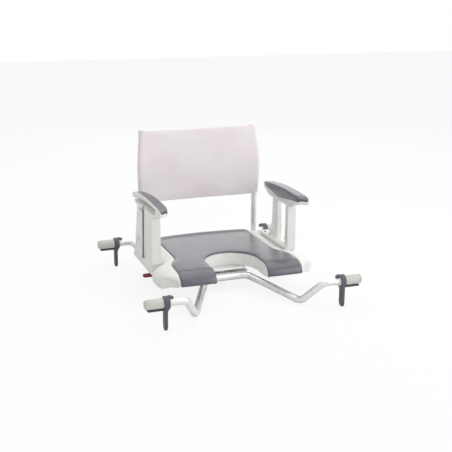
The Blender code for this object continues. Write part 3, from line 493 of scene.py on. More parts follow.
def run_tree(name, source, tree, values, finish):
    """Runs a tree on a mesh and returns its result as a plain mesh piece."""
    ob = put(name, source)
    mod = ob.modifiers.new("nodes", "NODES")
    mod.node_group = tree
    ids = {item.name: item.identifier for item in tree.interface.items_tree
           if item.item_type == "SOCKET" and item.in_out == "INPUT"}
    for label, value in values.items():
        mod[ids[label]] = value
    mod[ids["Finish"]] = finish
    mesh = baked(ob).data
    bpy.data.objects.remove(ob)
    return dress(name, mesh, finish)


bender, entry, leave = tree_with("bent tube", [("Radius", "Float"), ("Steps", "Int"),
                                               ("Sides", "Int"), ("Finish", "Material")])
line = node(bender, "GeometryNodeMeshToCurve")
corner = node(bender, "GeometryNodeInputNamedAttribute", {"Name": "bend"}, data_type="FLOAT")
fillet = node(bender, "GeometryNodeFilletCurve", {"Radius": corner.outputs["Attribute"],
                                                  "Count": entry.outputs["Steps"]}, mode="POLY")
circle = node(bender, "GeometryNodeCurvePrimitiveCircle",
              {"Radius": entry.outputs["Radius"], "Resolution": entry.outputs["Sides"]})
sweep = node(bender, "GeometryNodeCurveToMesh", {"Profile Curve": circle.outputs["Curve"],
                                                 "Fill Caps": True})
chain_up(bender, entry, [line, fillet, sweep], leave)


def bent_line(name, corners, bends):
    """Corners joined by edges, each with the radius of its bend."""
    mesh = bpy.data.meshes.new(name)
    mesh.from_pydata(corners, [(k, k + 1) for k in range(len(corners) - 1)], [])
    mesh.attributes.new("bend", "FLOAT", "POINT").data.foreach_set("value", bends)
    return mesh


# %% The frame tubes
TUBE_R, TUBE_END, CLAMP_Y, TUBE_Z = 0.012, 0.3605, 0.325, RIM + 0.0205
HALF_TUBE = [(TUBE_END, CLAMP_Y, TUBE_Z), (0.233, 0.325, TUBE_Z), (0.183, 0.262, RIM - 0.057),
             (0.076, 0.048, RIM - 0.023)]
HALF_BENDS = [0, 0.027, 0.040, 0.032]
for name, fore in (("front", -1), ("rear", 1)):
    corners = [Vector((x, fore * y, z)) for x, y, z in HALF_TUBE]
    corners += [Vector((-x, y, z)) for x, y, z in reversed(corners)]
    tube = run_tree("bent_tube_" + name,
                    bent_line("line_" + name, corners, HALF_BENDS + HALF_BENDS[::-1]),
                    bender, {"Radius": TUBE_R, "Steps": 14, "Sides": 40}, tube_paint)
    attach(tube, "bath_frame")
    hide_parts("frame_tube_" + name)

# %% [markdown]
# ## Rim sleeves
#
# A thick rubber sleeve covers each tube end, where it lies on the tub's rim. It is a turned piece:
# its mouth stands off the tube a little, and its closed end is dished inside a soft rim.

# %% Rim sleeves
SLEEVE_IN, SLEEVE_OUT, SLEEVE_R, SLEEVE_GAP, DISH = 0.3058, 0.365, 0.016, 0.0003, 0.0015
# The groove and the rim at the closed end: inwards from the radius, and back from the end.
SLEEVE_TIP = [(0, 0.0094), (0.0022, 0.0086), (0.0022, 0.0070), (0.0004, 0.0062), (0.0006, 0.0035),
              (0.0032, 0.0006), (0.0052, 0), (0.0066, 0.0009)]
sleeve_profile = rounded(
    [(TUBE_R + SLEEVE_GAP, TUBE_END + SLEEVE_GAP), (TUBE_R + SLEEVE_GAP, SLEEVE_IN),
     (SLEEVE_R - 0.0006, SLEEVE_IN), (SLEEVE_R, SLEEVE_IN + 0.0012), (SLEEVE_R, SLEEVE_IN + 0.010)]
    + [(SLEEVE_R - inwards, SLEEVE_OUT - back) for inwards, back in SLEEVE_TIP]
    + [(0.0045, SLEEVE_OUT - DISH), (0, SLEEVE_OUT - DISH)], 0.0009)
sleeve_profile.append((0, TUBE_END + SLEEVE_GAP))
for tag, side, fore in CORNERS:
    sleeve = turned("sleeve_" + tag, sleeve_profile, pale_rubber, (0, fore * CLAMP_Y, TUBE_Z),
                    (side, 0, 0), 56)
    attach(sleeve, "bath_frame")
    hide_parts("rim_sleeve_" + tag)

# %% [markdown]
# ## Rim clamps
#
# A clamp is one slate moulding: a ring round the tube, a foot strip under the sleeve and a plain
# leg that bears on the tub's inner wall. Mouldings have no hard edges, so a ring with two raised
# edges is laid into the CAD solid and both are skinned as one: a voxel remesh finds their common
# surface, and smoothing rolls its edges to the radius of the voxel. One clamp is made and turned to
# its four places.

# %% One rim clamp and its catch
RING_X = 0.2965
ring_centre = Vector((RING_X, CLAMP_Y, TUBE_Z))
RING_HALF = [(0.0152, -0.0085), (0.0206, -0.0085), (0.0220, -0.0070), (0.0214, -0.0045)]
ring_profile = rounded(RING_HALF + [(r, -x) for r, x in reversed(RING_HALF)], 0.0008)
ring = turned("ring", ring_profile, slate_plastic, ring_centre, (1, 0, 0), 64)
body = dress("body", cad_copy("clamp_rear_right"), slate_plastic)
first_clamp = moulded(joined(ring, [body]), voxel=0.0006, smoothing=5, keep=0.30)
tongue = dress("tongue", cad_copy("clamp_catch_rear_right"), slate_plastic)
first_catch = moulded(tongue, voxel=0.0003, smoothing=3, keep=0.35)

# %% Four rim clamps
bush_profile = rounded([(0.0123, -0.0152), (0.0136, -0.0152), (0.0142, -0.0146), (0.0142, -0.0088),
                        (0.0149, -0.0088), (0.0149, 0.0085), (0.0123, 0.0085)], 0.0004)
for tag, side, fore in CORNERS:
    turn = Matrix.Rotation(0 if side > 0 else pi, 4, "Z")
    spot = Vector((side * RING_X, fore * CLAMP_Y, TUBE_Z))
    move = Matrix.Translation(spot) @ turn @ Matrix.Translation(-ring_centre)
    clamp = turned_copy(first_clamp, "moulded_clamp_" + tag, move)
    catch = turned_copy(first_catch, "catch_tongue_" + tag, move)
    bush = turned("bush_" + tag, bush_profile, white_plastic, spot, (side, 0, 0), 48)
    for piece, body, cad, slot in (
            (clamp, "clamp_body_", "clamp_", "slate_plastic"),
            (catch, "catch_body_", "clamp_catch_", "slate_plastic"),
            (bush, "clamp_body_", "clamp_bush_", "white_plastic")):
        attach(piece, body + tag)
        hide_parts(cad + tag)
bpy.data.objects.remove(first_clamp)
bpy.data.objects.remove(first_catch)

# %% [markdown]
# ## Seat shell and seat pad
#
# The shell is a deep tray round a horseshoe opening. Its section is drawn at about 150 stations:
# rays from the middle of the opening's round end for the rear, and straight steps forward for the
# two lobes, whose last stations roll over the front edge. The pad lies in the shell's recess, so
# both use the same stations.

# %% Outlines of the seat
PAD_TOP, PAD_T, SKIN_T = 0.058, 0.005, 0.0039  # pad's height above the rims, and two walls
CUT_R, CUT_Y = 0.092, -0.104  # round end of the opening
ROLL_Y, ROLL_R, ROLL_Z = -0.155, 0.053, 0.018  # where and how far the front edge rolls
# Right halves of the two outlines, in millimetres, from the front to the rear.
PAD_EDGE = [(211, -205), (211, -190), (209, -120), (205, -76), (192, -56), (178, -37), (176, 0),
            (176, 204), (173, 212), (164, 217), (90, 224), (0, 227)]
SHELL_EDGE = [(219, -205), (238, -195), (260, -176), (275, -146), (280, -112), (276, -84),
              (260, -62), (240, -50), (226, -43), (226, 0), (226, 204), (231, 212), (239, 220),
              (240, 240), (236, 249), (226, 252), (180, 251), (0, 247)]


def outline(pairs, radius):
    line = soften([Vector((x * MM, y * MM, 0)) for x, y in pairs], radius, 3)
    return [(p.x, p.y) for p in line]


pad_edge, shell_edge = outline(PAD_EDGE, 0.016), outline(SHELL_EDGE, 0.012)
print("outline points:", len(pad_edge), "pad,", len(shell_edge), "shell")


# %% Stations of the seat
ROLL_STEPS, LOBE_STEPS = 15, 7


def ray_reach(edge, angle):
    """How far from the opening's centre a ray meets a half outline."""
    dx, dy = cos(angle), sin(angle)
    hits = []
    for (x0, y0), (x1, y1) in zip(edge, edge[1:]):
        ex, ey = x1 - x0, y1 - y0
        det = ex * dy - dx * ey
        if abs(det) < 1e-14:
            continue
        ry = y0 - CUT_Y
        reach = (ex * ry - x0 * ey) / det
        share = (dx * ry - dy * x0) / det
        if reach > 0 and -1e-6 <= share <= 1 + 1e-6:
            hits.append(reach)
    return max(hits)


def half_width(edge, y):
    hits = [x0 + (x1 - x0) * (y - y0) / (y1 - y0) for (x0, y0), (x1, y1) in zip(edge, edge[1:])
            if y0 <= y <= y1 and y1 > y0]
    return max(hits) if hits else edge[0][0]


def seat_stations():
    """Each is (y, direction, opening's edge, pad's edge, shell's edge, angle of the roll)."""
    lobe = []
    for k in range(ROLL_STEPS):
        roll = radians(88.5 - 6.1 * k)
        y = ROLL_Y - ROLL_R * sin(roll)
        lobe.append((y, CUT_R - 0.002 * min(1, (ROLL_Y - y) / 0.050), roll))
    lobe += [(ROLL_Y + (CUT_Y - ROLL_Y) * k / LOBE_STEPS, CUT_R, 0) for k in range(LOBE_STEPS)]
    right = [(y, Vector((1, 0, 0)), cut, half_width(pad_edge, y), half_width(shell_edge, y), roll)
             for y, cut, roll in lobe]
    # The rays stand closest together at the rear corners, where the outline turns fastest.
    for deg in ([2.2 * k for k in range(24)] + [52.3 + 0.5 * k for k in range(20)]
                + [63 + 3 * k for k in range(10)]):
        a = radians(deg)
        right.append((CUT_Y, Vector((cos(a), sin(a), 0)), CUT_R, ray_reach(pad_edge, a),
                      ray_reach(shell_edge, a), 0))
    left = [(y, Vector((-d.x, d.y, 0)), i, p, s, roll) for y, d, i, p, s, roll in right]
    return left + right[-2::-1]


def seat_point(station, out, height, share=None, front=None):
    """A point of the seat. Its upper surfaces roll down together over the front edge; a lower
    edge ends there at the height front. The share says how far forward the roll carries it."""
    y, way, _, _, _, roll = station
    if not roll:
        return Vector((way.x * out, y + way.y * out, RIM + height))
    lift = height - ROLL_Z
    share = lift / (PAD_TOP - ROLL_Z) if share is None else share
    z = RIM + ROLL_Z + lift * cos(roll) if front is None else (
        RIM + height + (front - height) * sin(roll))
    return Vector((way.x * out, ROLL_Y - ROLL_R * share * sin(roll), z))


stations = seat_stations()
print("seat stations:", len(stations))

# %% Seat shell
SEAM = 0.0003  # between the pad and its recess
RECESS_Z = PAD_TOP - PAD_T - SEAM
UNDER_Z = RECESS_Z - SKIN_T
RECESS_SHARE = (PAD_TOP - PAD_T - ROLL_Z) / (PAD_TOP - ROLL_Z)
# Across the shell's shoulder, from the pad's edge to the shell's: share of the way, a gap, a share
# of the wall, a drop, and one more drop where the shoulder is wide enough to be domed.
SHOULDER = [(0.05, SEAM, 0, 0.0016, 0), (0.15, 0, 0, 0.0004, 0), (0.32, 0, 0, 0.0006, 0.0016),
            (0.50, 0, 0, 0.0008, 0.0038), (0.68, 0, 0, 0.0012, 0.0068),
            (0.84, 0, 0, 0.0020, 0.0108), (0.94, 0, 0, 0.0030, 0.0175)]
LINING = [(0.02, SEAM, 0, 0, 0), (0.05, SEAM, 0, 0, 0), (0.15, 0, 0, 0, 0), (0.32, 0, 0, 0, 0),
          (0.48, 0, 0, 0.0004, 0), (0.62, 0, 0, 0, 0.0030), (0.80, 0, 0.5, 0.0010, 0.0065),
          (0.92, 0, 1, 0.0020, 0.0110)]
shell_rows = []
for st in stations:
    _, _, i, p, s, roll = st
    d = s - p
    wall = min(SKIN_T, 0.3 * d)
    dome = min(1.0, d / 0.030) if roll else 1.0
    reach = 0.875 - 0.40 * dome
    shoulder, lining = [[seat_point(st, p + share * d + gap - wall * skin, z - drop - more * dome)
                         for share, gap, skin, drop, more in rows]
                        for rows, z in ((SHOULDER, PAD_TOP), (LINING, UNDER_Z))]
    outer = [seat_point(st, i + 0.0015, 0.008, RECESS_SHARE, 0.014),
             seat_point(st, i, RECESS_Z - 0.004), seat_point(st, i + 0.0015, RECESS_Z),
             seat_point(st, (i + p) / 2, RECESS_Z), seat_point(st, p + 0.02 * d + SEAM, RECESS_Z),
             *shoulder, seat_point(st, s, 0.029, reach),
             seat_point(st, s - 0.03 * d, 0.010, reach, 0.016),
             seat_point(st, s - 0.16 * d, 0.0015, reach, 0.014)]
    inner = [seat_point(st, i + 0.0015 + SKIN_T, 0.008, RECESS_SHARE, 0.014),
             seat_point(st, i + SKIN_T, UNDER_Z - 0.004),
             seat_point(st, i + 0.002 + SKIN_T, UNDER_Z), seat_point(st, (i + p) / 2, UNDER_Z),
             *lining, seat_point(st, s - wall, 0.027, reach, 0.0166),
             seat_point(st, s - 0.03 * d - wall, 0.010, reach, 0.0154),
             seat_point(st, s - 0.16 * d - wall, 0.0015, reach, 0.014)]
    shell_rows.append((soften(outer, 0.0060, 2), soften(inner, 0.0025, 2)))
shell = wall_loft("moulded_shell", shell_rows, white_plastic, 50)
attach(shell, "seat")
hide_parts("seat_shell")

# %% [markdown]
# ### Seat pad
#
# The pad is one piece of skinned foam. Its top is crowned between its edges, its edges pull in to a
# thin lip that sits in the shell's recess, and along the rear it swells into a low roll.

# %% Seat pad
PAD_LOW = PAD_TOP - PAD_T
ACROSS = [0.0, 0.04, 0.09, 0.16, 0.24, 0.33, 0.42, 0.5, 0.58, 0.67, 0.76, 0.84, 0.91, 0.96, 1.0]
CROWN, REAR_ROLL, REAR_LIP = 0.0016, 0.0060, 0.0040  # rise in the middle, and along the rear
pad_rows = []
for st in stations:
    y0, way, i, p, _, _ = st
    rear = max(0.0, way.y) ** 2 * min(1.0, max(0.0, (way.y * p + y0 - 0.175) / 0.03))
    upper = [seat_point(st, i + step, PAD_LOW + rise)
             for step, rise in ((-0.0006, 0.0012), (-0.0005, 0.0030), (0.0010, 0.0046))]
    lower = [seat_point(st, i + step, PAD_LOW) for step in (-0.0002, 0.0006, 0.0020)]
    for t in ACROSS:
        out = i + 0.004 + (p - i - 0.008) * t
        crown = CROWN * (1 - (2 * t - 1) ** 4)
        roll_up = rear * REAR_ROLL * (1 - min(1.0, (p - out) / 0.026) ** 2)
        upper.append(seat_point(st, out, PAD_LOW + 0.0052 + crown + roll_up))
        lower.append(seat_point(st, out, PAD_LOW))
    lift = rear * REAR_LIP
    upper += [seat_point(st, p - 0.0016, PAD_LOW + 0.0046 + lift),
              seat_point(st, p - 0.0002, PAD_LOW + 0.0032 + lift * 0.7),
              seat_point(st, p, PAD_LOW + 0.0012)]
    lower += [seat_point(st, p - step, PAD_LOW) for step in (0.0024, 0.0010, 0.0004)]
    pad_rows.append((soften(upper, 0.0012, 1), soften(lower, 0.0012, 1)))
pad = wall_loft("foam_seat_pad", pad_rows, slate_skin, 70)
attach(pad, "seat")
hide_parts("seat_pad")

# %% [markdown]
# ## Armrests
#
# Each armrest is three pieces: a white frame with two posts, a white tray and a slate pad that lies
# in the tray and wraps its inner side. Tray and pad are lofts along the arm. Their ends are rounded
# by drawing the last sections smaller, on a quarter circle.

# %% Tables of an armrest
# Millimetres: (distance along the arm, value) pairs from its front end to its rear end.
ARM_FRONT, ARM_REAR, ARM_OUT = -135, 223, 262
ARM_TOP = [(-135, 250), (-122, 257), (-105, 258.5), (-30, 261), (25, 261), (90, 257.5),
           (140, 252.5), (164, 249.5), (200, 241.5), (215, 237), (223, 233)]
ARM_LOW = [(-135, 234), (-122, 229), (-100, 226), (-40, 223), (40, 220.5), (120, 220), (180, 218.5),
           (223, 217)]
ARM_PAD_LOW = [(-135, 240.5), (-112, 240), (-50, 234), (0, 226.5), (40, 223.5), (100, 229.5),
               (150, 232), (200, 229), (223, 223.5)]
ARM_WIDE = [(-135, 33), (-126, 35.5), (-100, 36.5), (0, 37), (60, 36.5), (110, 34), (160, 28.5),
            (195, 22), (215, 15.5), (223, 11)]
ARM_RECESS = [(-78, 0), (-66, 24), (60, 24), (110, 21), (160, 16), (195, 12), (212, 7.5),
              (223, 3.5)]
ARM_RIM = [(110, 10.5), (170, 8), (205, 5.5), (223, 4)]
ARM_INSET = [(-135, 2), (-128, 0.3), (-100, 0), (150, 0), (200, 1), (215, 2.5), (223, 5)]


def tray_section(top, low, pad, inner, outer, recess, rim):
    return [(outer, top - rim + 1.5), (outer, top - 1.2), (outer, top + 0.4),
            (outer - 2.4, top + 0.4), (outer - 2.5, top - 2), (outer - 2.5, top - 7.6),
            (inner + 4, top - 7.6), (inner + 4, pad - 0.5), (inner + 0.3, pad - 0.5),
            (inner + 1.2, low + 1.2), (inner + 3, low), (outer - 4 - recess, low),
            (outer - 1.8 - recess, low + 2), (outer - 1.6 - recess, top - rim - 0.6),
            (outer - 1.3, top - rim)]


def arm_pad_section(top, low, pad, inner, outer, *_):
    edge = outer - 3.1
    wide = edge - inner
    lip = inner + min(3.2, 0.35 * wide)
    return [(edge, top - 7), (edge, top - 2.4), (edge, top - 1.2), (edge - 0.12 * wide, top + 0.1),
            ((inner + edge) / 2, top + 1.2), (inner + min(6, 0.2 * wide), top + 1.9),
            (inner + min(2.2, 0.1 * wide), top + 0.7), (inner, top - 2.4),
            (inner, max(top - 10, pad + 1)), (inner, pad), (lip, pad), (lip, top - 7)]


print("an arm is", ARM_REAR - ARM_FRONT, "mm long")


# %% Armrest trays and pads
def arm_rows(section, side, radius, end):
    """Sections along the arm, smaller over the last few millimetres at both ends."""
    ys = [ARM_FRONT + end * t for t in (0, 0.08, 0.25, 0.5, 0.75)]
    ys += [ARM_FRONT + 4 + 6 * k for k in range(59)]
    ys += [ARM_REAR - end * t for t in (0.75, 0.5, 0.25, 0.08, 0)]
    rows = []
    for y in ys:
        top, low, pad, wide, recess, rim, inset = (eased(y, pairs, 7) for pairs in (
            ARM_TOP, ARM_LOW, ARM_PAD_LOW, ARM_WIDE, ARM_RECESS, ARM_RIM, ARM_INSET))
        inner, outer = ARM_OUT - wide, ARM_OUT - inset
        slant = 22 * max(0.0, min(1.0, (-60 - y) / 60))
        points = section(top, low, pad, inner, outer, recess, rim)
        o0, z0 = [sum(part) / len(points) for part in zip(*points)]
        near = min(y - ARM_FRONT, ARM_REAR - y)
        shrink = end - (end ** 2 - (end - near) ** 2) ** 0.5 if near < end else 0.0
        row = []
        for o, z in points:
            arm = Vector((o - o0, z - z0))
            arm *= max(0.35, 1 - shrink / max(arm.length, 0.5))
            o, z = o0 + arm.x, z0 + arm.y
            row.append(at(side, o, y - slant * ((o - inner) / (outer - inner) - 0.6), z))
        rows.append(soften(row, radius, 2, closed=True))
    return rows


for tag, side in SIDES:
    tray = solid_loft("arm_tray_" + tag, arm_rows(tray_section, side, 0.0008, 2.2),
                      white_plastic, 42)
    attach(tray, "seat")
    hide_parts("armrest_tray_" + tag)
    arm_pad = solid_loft("arm_pad_" + tag, arm_rows(arm_pad_section, side, 0.0016, 3.0),
                         slate_skin, 50)
    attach(arm_pad, "seat")
    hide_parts("armrest_pad_" + tag)

# %% [markdown]
# ### Armrest frames and their fasteners
#
# The frame has few, flat faces, so a copy of the CAD solid is the start. Boolean cuts take out what
# the mould leaves empty, and a skin of 0.9 mm voxels rolls the crisp edges. The photograph shows
# the channel in the rear post on the left armrest only. The screws are Geometry Nodes instances: a
# cross-recessed head is made once and set on every point of a small mesh.

# %% Armrest frames
CHANNEL = ((33, 259.8, 144), (105, 260.0, 136), (150, 259.0, 128), (217, 257.4, 120))
CHANNEL_T, CHANNEL_Y = 5.6, 70  # millimetres, as is all that is cut here
SLOT = ((44, 262), (79.5, 262), (79.5, 110), (83, 70), (88, 33), (54, 40), (26, 57), (43, 74),
        (47, 110))
FOOT_JOINT = ((224, -46), (266, -46), (266, -35.2), (224, -35.2))


def hollows(side):
    """What a frame's mould leaves empty: in the rear post, between the posts, before the foot."""
    channel = [[at(side, x, y, z) for x, y in ((out - CHANNEL_T, CHANNEL_Y), (out, CHANNEL_Y),
                                               (out, deep), (out - CHANNEL_T, deep))]
               for z, out, deep in CHANNEL]
    slot = [[at(side, x, y, z) for y, z in SLOT] for x in (250.5, 266)]
    joint = [[at(side, x, y, z) for x, y in FOOT_JOINT] for z in (3, 45.5)]
    cuts = (channel, slot, joint) if side < 0 else (slot, joint)
    return [solid_loft("hollow", rows, white_plastic) for rows in cuts]


CAP_PROFILE = rounded([(0, 0), (0.008, 0), (0.008, 0.0012), (0.0066, 0.0021), (0.004, 0.0024),
                       (0.0035, 0.0019), (0, 0.0019)], 0.0004)
CAP_X, CAP_Y, CAP_Z = 0.2623, 0.129, RIM + 0.093
for tag, side in SIDES:
    arm = dress("arm_frame_" + tag, cad_copy("armrest_frame_" + tag), white_plastic)
    for hollow in hollows(side):
        cut_out(arm, hollow)
    moulded(arm, voxel=0.0009, smoothing=4, keep=0.16)
    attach(arm, "seat")
    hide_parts("armrest_frame_" + tag)
    cap = turned("cap_" + tag, CAP_PROFILE, white_plastic, (side * CAP_X, CAP_Y, CAP_Z),
                 (side, 0, 0), 40)
    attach(cap, "seat")
    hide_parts("screw_cap_" + tag)

# %% A tree that sets a fastener on points
setter, entry, leave = tree_with("set on points", [("Fastener", "Object"), ("Size", "Float"),
                                                   ("Finish", "Material")])
info = node(setter, "GeometryNodeObjectInfo", {"Object": entry.outputs["Fastener"]})
points = node(setter, "GeometryNodeMeshToPoints")
facing = node(setter, "GeometryNodeInputNamedAttribute", {"Name": "facing"},
              data_type="FLOAT_VECTOR")
align = node(setter, "FunctionNodeAlignRotationToVector",
             {"Vector": facing.outputs["Attribute"]}, axis="Z")
drop = node(setter, "GeometryNodeInstanceOnPoints", {
    "Instance": info.outputs["Geometry"], "Rotation": align.outputs["Rotation"],
    "Scale": entry.outputs["Size"]})
chain_up(setter, entry, [points, drop], leave)


def facing_points(name, spots):
    """Points that each carry the direction in which their fastener faces."""
    mesh = bpy.data.meshes.new(name)
    mesh.from_pydata([p for p, _ in spots], [], [])
    mesh.attributes.new("facing", "FLOAT_VECTOR", "POINT").data.foreach_set(
        "vector", [c for _, way in spots for c in way])
    return mesh


# %% Screws
HEAD_PROFILE = rounded([(0, 0.0007), (0.0010, 0.0007), (0.0014, 0.0017), (0.0026, 0.0015),
                        (0.0036, 0.0008), (0.0036, 0), (0, 0)], 0.00025)
RECESS_LONG, RECESS_WIDE, RECESS_FROM, RECESS_TO = 0.0022, 0.00045, 0.0008, 0.0030
SCREW_X, SCREW_YS, SCREW_Z = 0.239, (0.138, 0.180), RIM + 0.0543
head =turned("screw_head", HEAD_PROFILE, slate_plastic, (0, 0, 0), (0, 0, 1), 20)
for quarter in (0, pi / 2):
    bar = solid_loft("bar", [[Vector((x * RECESS_LONG, y * RECESS_WIDE, z)) for x, y in (
        (-1, -1), (1, -1), (1, 1), (-1, 1))] for z in (RECESS_FROM, RECESS_TO)], slate_plastic)
    bar.data.transform(Matrix.Rotation(quarter, 4, "Z"))
    cut_out(head, bar)
for tag, side in SIDES:
    spots = [(Vector((side * SCREW_X, y, SCREW_Z)), Vector((0, 0, 1))) for y in SCREW_YS]
    screws = run_tree("screws_" + tag, facing_points("spots", spots), setter,
                      {"Fastener": head, "Size": 1.0}, slate_plastic)
    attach(screws, "seat")
    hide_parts("arm_screw_%s_1" % tag, "arm_screw_%s_2" % tag)
bpy.data.objects.remove(head)

# %% [markdown]
# ## Back tubes and sling
#
# Two bent tubes stand in the shell's rear corners, and the sling is one length of fabric: it wraps
# each tube in a pocket, crosses in front, and is hemmed back on itself. The photograph shows it
# taut, so Blender's cloth solver stretches it: the pockets are pinned, the cloth between them
# shrinks by 0.3 %, and a trace of gravity settles the few soft folds that it starts with. How far
# any point may move is capped, to keep it clear of the armrests.

# %% Back tubes
BACK_R, BACK_BENDS = 0.0108, [0, 0.5, 0.45, 0]
BACK_PATH = [(214.5, 237, 16), (216, 241, 200), (222, 229, 320), (207.5, 248, 444)]  # mm
PLUG_PROFILE = rounded([(0, -0.008), (0.0082, -0.008), (0.0082, 0.0003), (0.0108, 0.0003),
                        (0.0106, 0.0016), (0.0092, 0.0026), (0, 0.0030)], 0.0006)
for tag, side in SIDES:
    corners = [at(side, x, y, z) for x, y, z in BACK_PATH]
    tube = run_tree("back_rail_" + tag, bent_line("line_back_" + tag, corners, BACK_BENDS),
                    bender, {"Radius": BACK_R, "Steps": 16, "Sides": 36}, tube_paint)
    lean = (corners[-1] - corners[-2]).normalized()
    plug = turned("back_end_" + tag, PLUG_PROFILE, white_plastic, corners[-1], lean, 40)
    for piece, cad, slot in ((tube, "back_tube_", "white_paint"),
                             (plug, "back_plug_", "white_plastic")):
        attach(piece, "seat")
        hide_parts(cad + tag)

# %% Sling: its shape before it hangs
COVER_LOW, COVER_HIGH, POCKET_R = 194, 449, 0.0128  # heights in millimetres above the rims
LEVELS, COLUMNS, HEM, WRAP = 38, 58, 4, 19  # points up, across, in a hem, round a tube
WRAP_FROM, WRAP_TURN, AXIS_EASE = -55, 325, 55  # degrees round a tube; millimetres up it
HOLLOW, CREASE, FOLD = 0.009, 0.0009, 0.0006  # depths of the panel's soft forms
CREASE_PITCH, FOLD_PITCH = 0.019, 0.037  # metres to a radian of them


def back_axis(z):
    """Centre of the right-hand tube at a height above the rims, in metres."""
    return tuple(eased(z, [(p[2], p[k]) for p in BACK_PATH], AXIS_EASE) * MM for k in (0, 1))


def sling_line(z):
    """One level of the fabric, from the left hem round both tubes to the right hem."""
    x, y = back_axis(z)
    height = RIM + z * MM
    f = (z - COVER_LOW) / (COVER_HIGH - COVER_LOW)
    near_end = max(0.0, abs(2 * f - 1) - 0.35) / 0.65
    left = [Vector((-x + POCKET_R + 0.016 - 0.004 * k, y + 0.0035 - POCKET_R, height))
            for k in range(HEM)]
    for k in range(WRAP):
        a = radians(WRAP_FROM + WRAP_TURN * k / (WRAP - 1))
        left.append(Vector((-x + POCKET_R * cos(a), y + POCKET_R * sin(a), height)))
    start = left[-1]
    panel = []
    for k in range(1, COLUMNS):
        t = k / COLUMNS
        px = start.x + (-start.x - start.x) * t
        hollow = HOLLOW * (1 - (2 * t - 1) ** 2)
        crease = CREASE * near_end * cos(px / CREASE_PITCH) * (1 - (2 * t - 1) ** 4)
        fold = FOLD * sin(px / FOLD_PITCH + 4 * f)
        panel.append(Vector((px, start.y + hollow + crease + fold, start.z)))
    return left + panel + [Vector((-p.x, p.y, p.z)) for p in reversed(left)]


lines = [sling_line(COVER_LOW + (COVER_HIGH - COVER_LOW) * k / (LEVELS - 1)) for k in range(LEVELS)]
count = len(lines[0])
faces = [(count * k + i, count * k + i + 1, count * (k + 1) + i + 1, count * (k + 1) + i)
         for k in range(LEVELS - 1) for i in range(count - 1)]
mesh = bpy.data.meshes.new("back_sling")
mesh.from_pydata([p for line in lines for p in line], [], faces)
flat = mesh.uv_layers.new(name="flat")
middle = lines[LEVELS // 2]
run = [0.0]
for one, two in zip(middle, middle[1:]):
    run.append(run[-1] + (two - one).length)
for loop in mesh.loops:
    k, i = divmod(loop.vertex_index, count)
    flat.data[loop.index].uv = (run[i], (COVER_HIGH - COVER_LOW) * MM * k / (LEVELS - 1))

# %% Sling: hang it
CLOTH_STEPS, MOST_MOVE = 36, 0.008
sling = dress("back_sling", mesh, sling_cloth, 60)
pocket = HEM + WRAP
pins = sling.vertex_groups.new(name="pockets")
pins.add([v for v in range(count * LEVELS) if not pocket <= v % count < count - pocket], 1.0,
         "REPLACE")
rest = [v.co.copy() for v in mesh.vertices]
cloth = sling.modifiers.new("cloth", "CLOTH")
cloth.settings.quality = 8
cloth.settings.mass = 0.35
cloth.settings.tension_stiffness = cloth.settings.compression_stiffness = 18
cloth.settings.shear_stiffness = 9
cloth.settings.bending_stiffness = 0.6
cloth.settings.shrink_min = 0.003
cloth.settings.vertex_group_mass = "pockets"
cloth.settings.effector_weights.gravity = 0.02
cloth.collision_settings.use_collision = False
cloth.collision_settings.use_self_collision = False
cloth.point_cache.frame_start, cloth.point_cache.frame_end = 1, CLOTH_STEPS
scene = bpy.context.scene
for step in range(1, CLOTH_STEPS + 1):
    scene.frame_set(step)
baked(sling)
scene.frame_set(1)
moved = 0.0
for vertex, start in zip(sling.data.vertices, rest):
    shift = vertex.co - start
    moved = max(moved, shift.length)
    if shift.length > MOST_MOVE:
        vertex.co = start + shift * (MOST_MOVE / shift.length)
print("the solver moved the panel by up to %.1f mm" % (moved / MM))

# %% Sling: thickness, and the folds over the tubes' tops
sling.vertex_groups.clear()
thick = sling.modifiers.new("thickness", "SOLIDIFY")
thick.thickness, thick.offset = 0.0012, 0.0
fine = sling.modifiers.new("fine", "SUBSURF")
fine.levels = fine.render_levels = 1
baked(sling)
x, y = back_axis(COVER_HIGH)
FOLD_PROFILE = rounded([(0, -0.0016), (0.0126, -0.0016), (0.0134, -0.0010), (0.0134, 0.0006),
                        (0.0118, 0.0018), (0, 0.0024)], 0.0006)
joined(sling, [turned("fold", FOLD_PROFILE, sling_cloth, (side * x, y, RIM + COVER_HIGH * MM),
                      (0, 0, 1), 40) for side in (-1, 1)])
smooth(sling.data)
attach(sling, "seat")
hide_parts("back_cover")

# %% [markdown]
# ## Lever, turntable and the plates that the CAD solids already show well
#
# The red grip is a small loft with soft edges. The plates, the bars and the bearing rings are plain
# turned or cut metal and plastic, whose CAD solids are exact, so they only take their finish.

# %% The red grip
GRIP_Y, GRIP_Z = 6, -3.8  # its middle; all of the grip is in millimetres
# Each section of the grip: (x, half breadth, half height).
GRIP_ROWS = ((-281, 4.2, 2.4), (-280.4, 5.6, 3.8), (-278.5, 7.0, 5.2), (-273, 7.8, 6.0),
             (-257, 8.0, 6.0), (-245, 7.6, 6.0), (-242, 7.0, 5.6), (-241, 6.0, 4.8))
rows = []
for x, b, h in GRIP_ROWS:
    c = min(b, h) * 0.42
    ring = [at(1, x, GRIP_Y + y, GRIP_Z + z) for y, z in (
        (-b, -h + c), (-b + c, -h), (b - c, -h), (b, -h + c), (b, h - c), (b - c, h), (-b + c, h),
        (-b, h - c))]
    rows.append(soften(ring, 0.0010, 2, closed=True))
grip = solid_loft("red_grip", rows, red_plastic, 45)
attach(grip, "release_lever")
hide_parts("lever_grip")

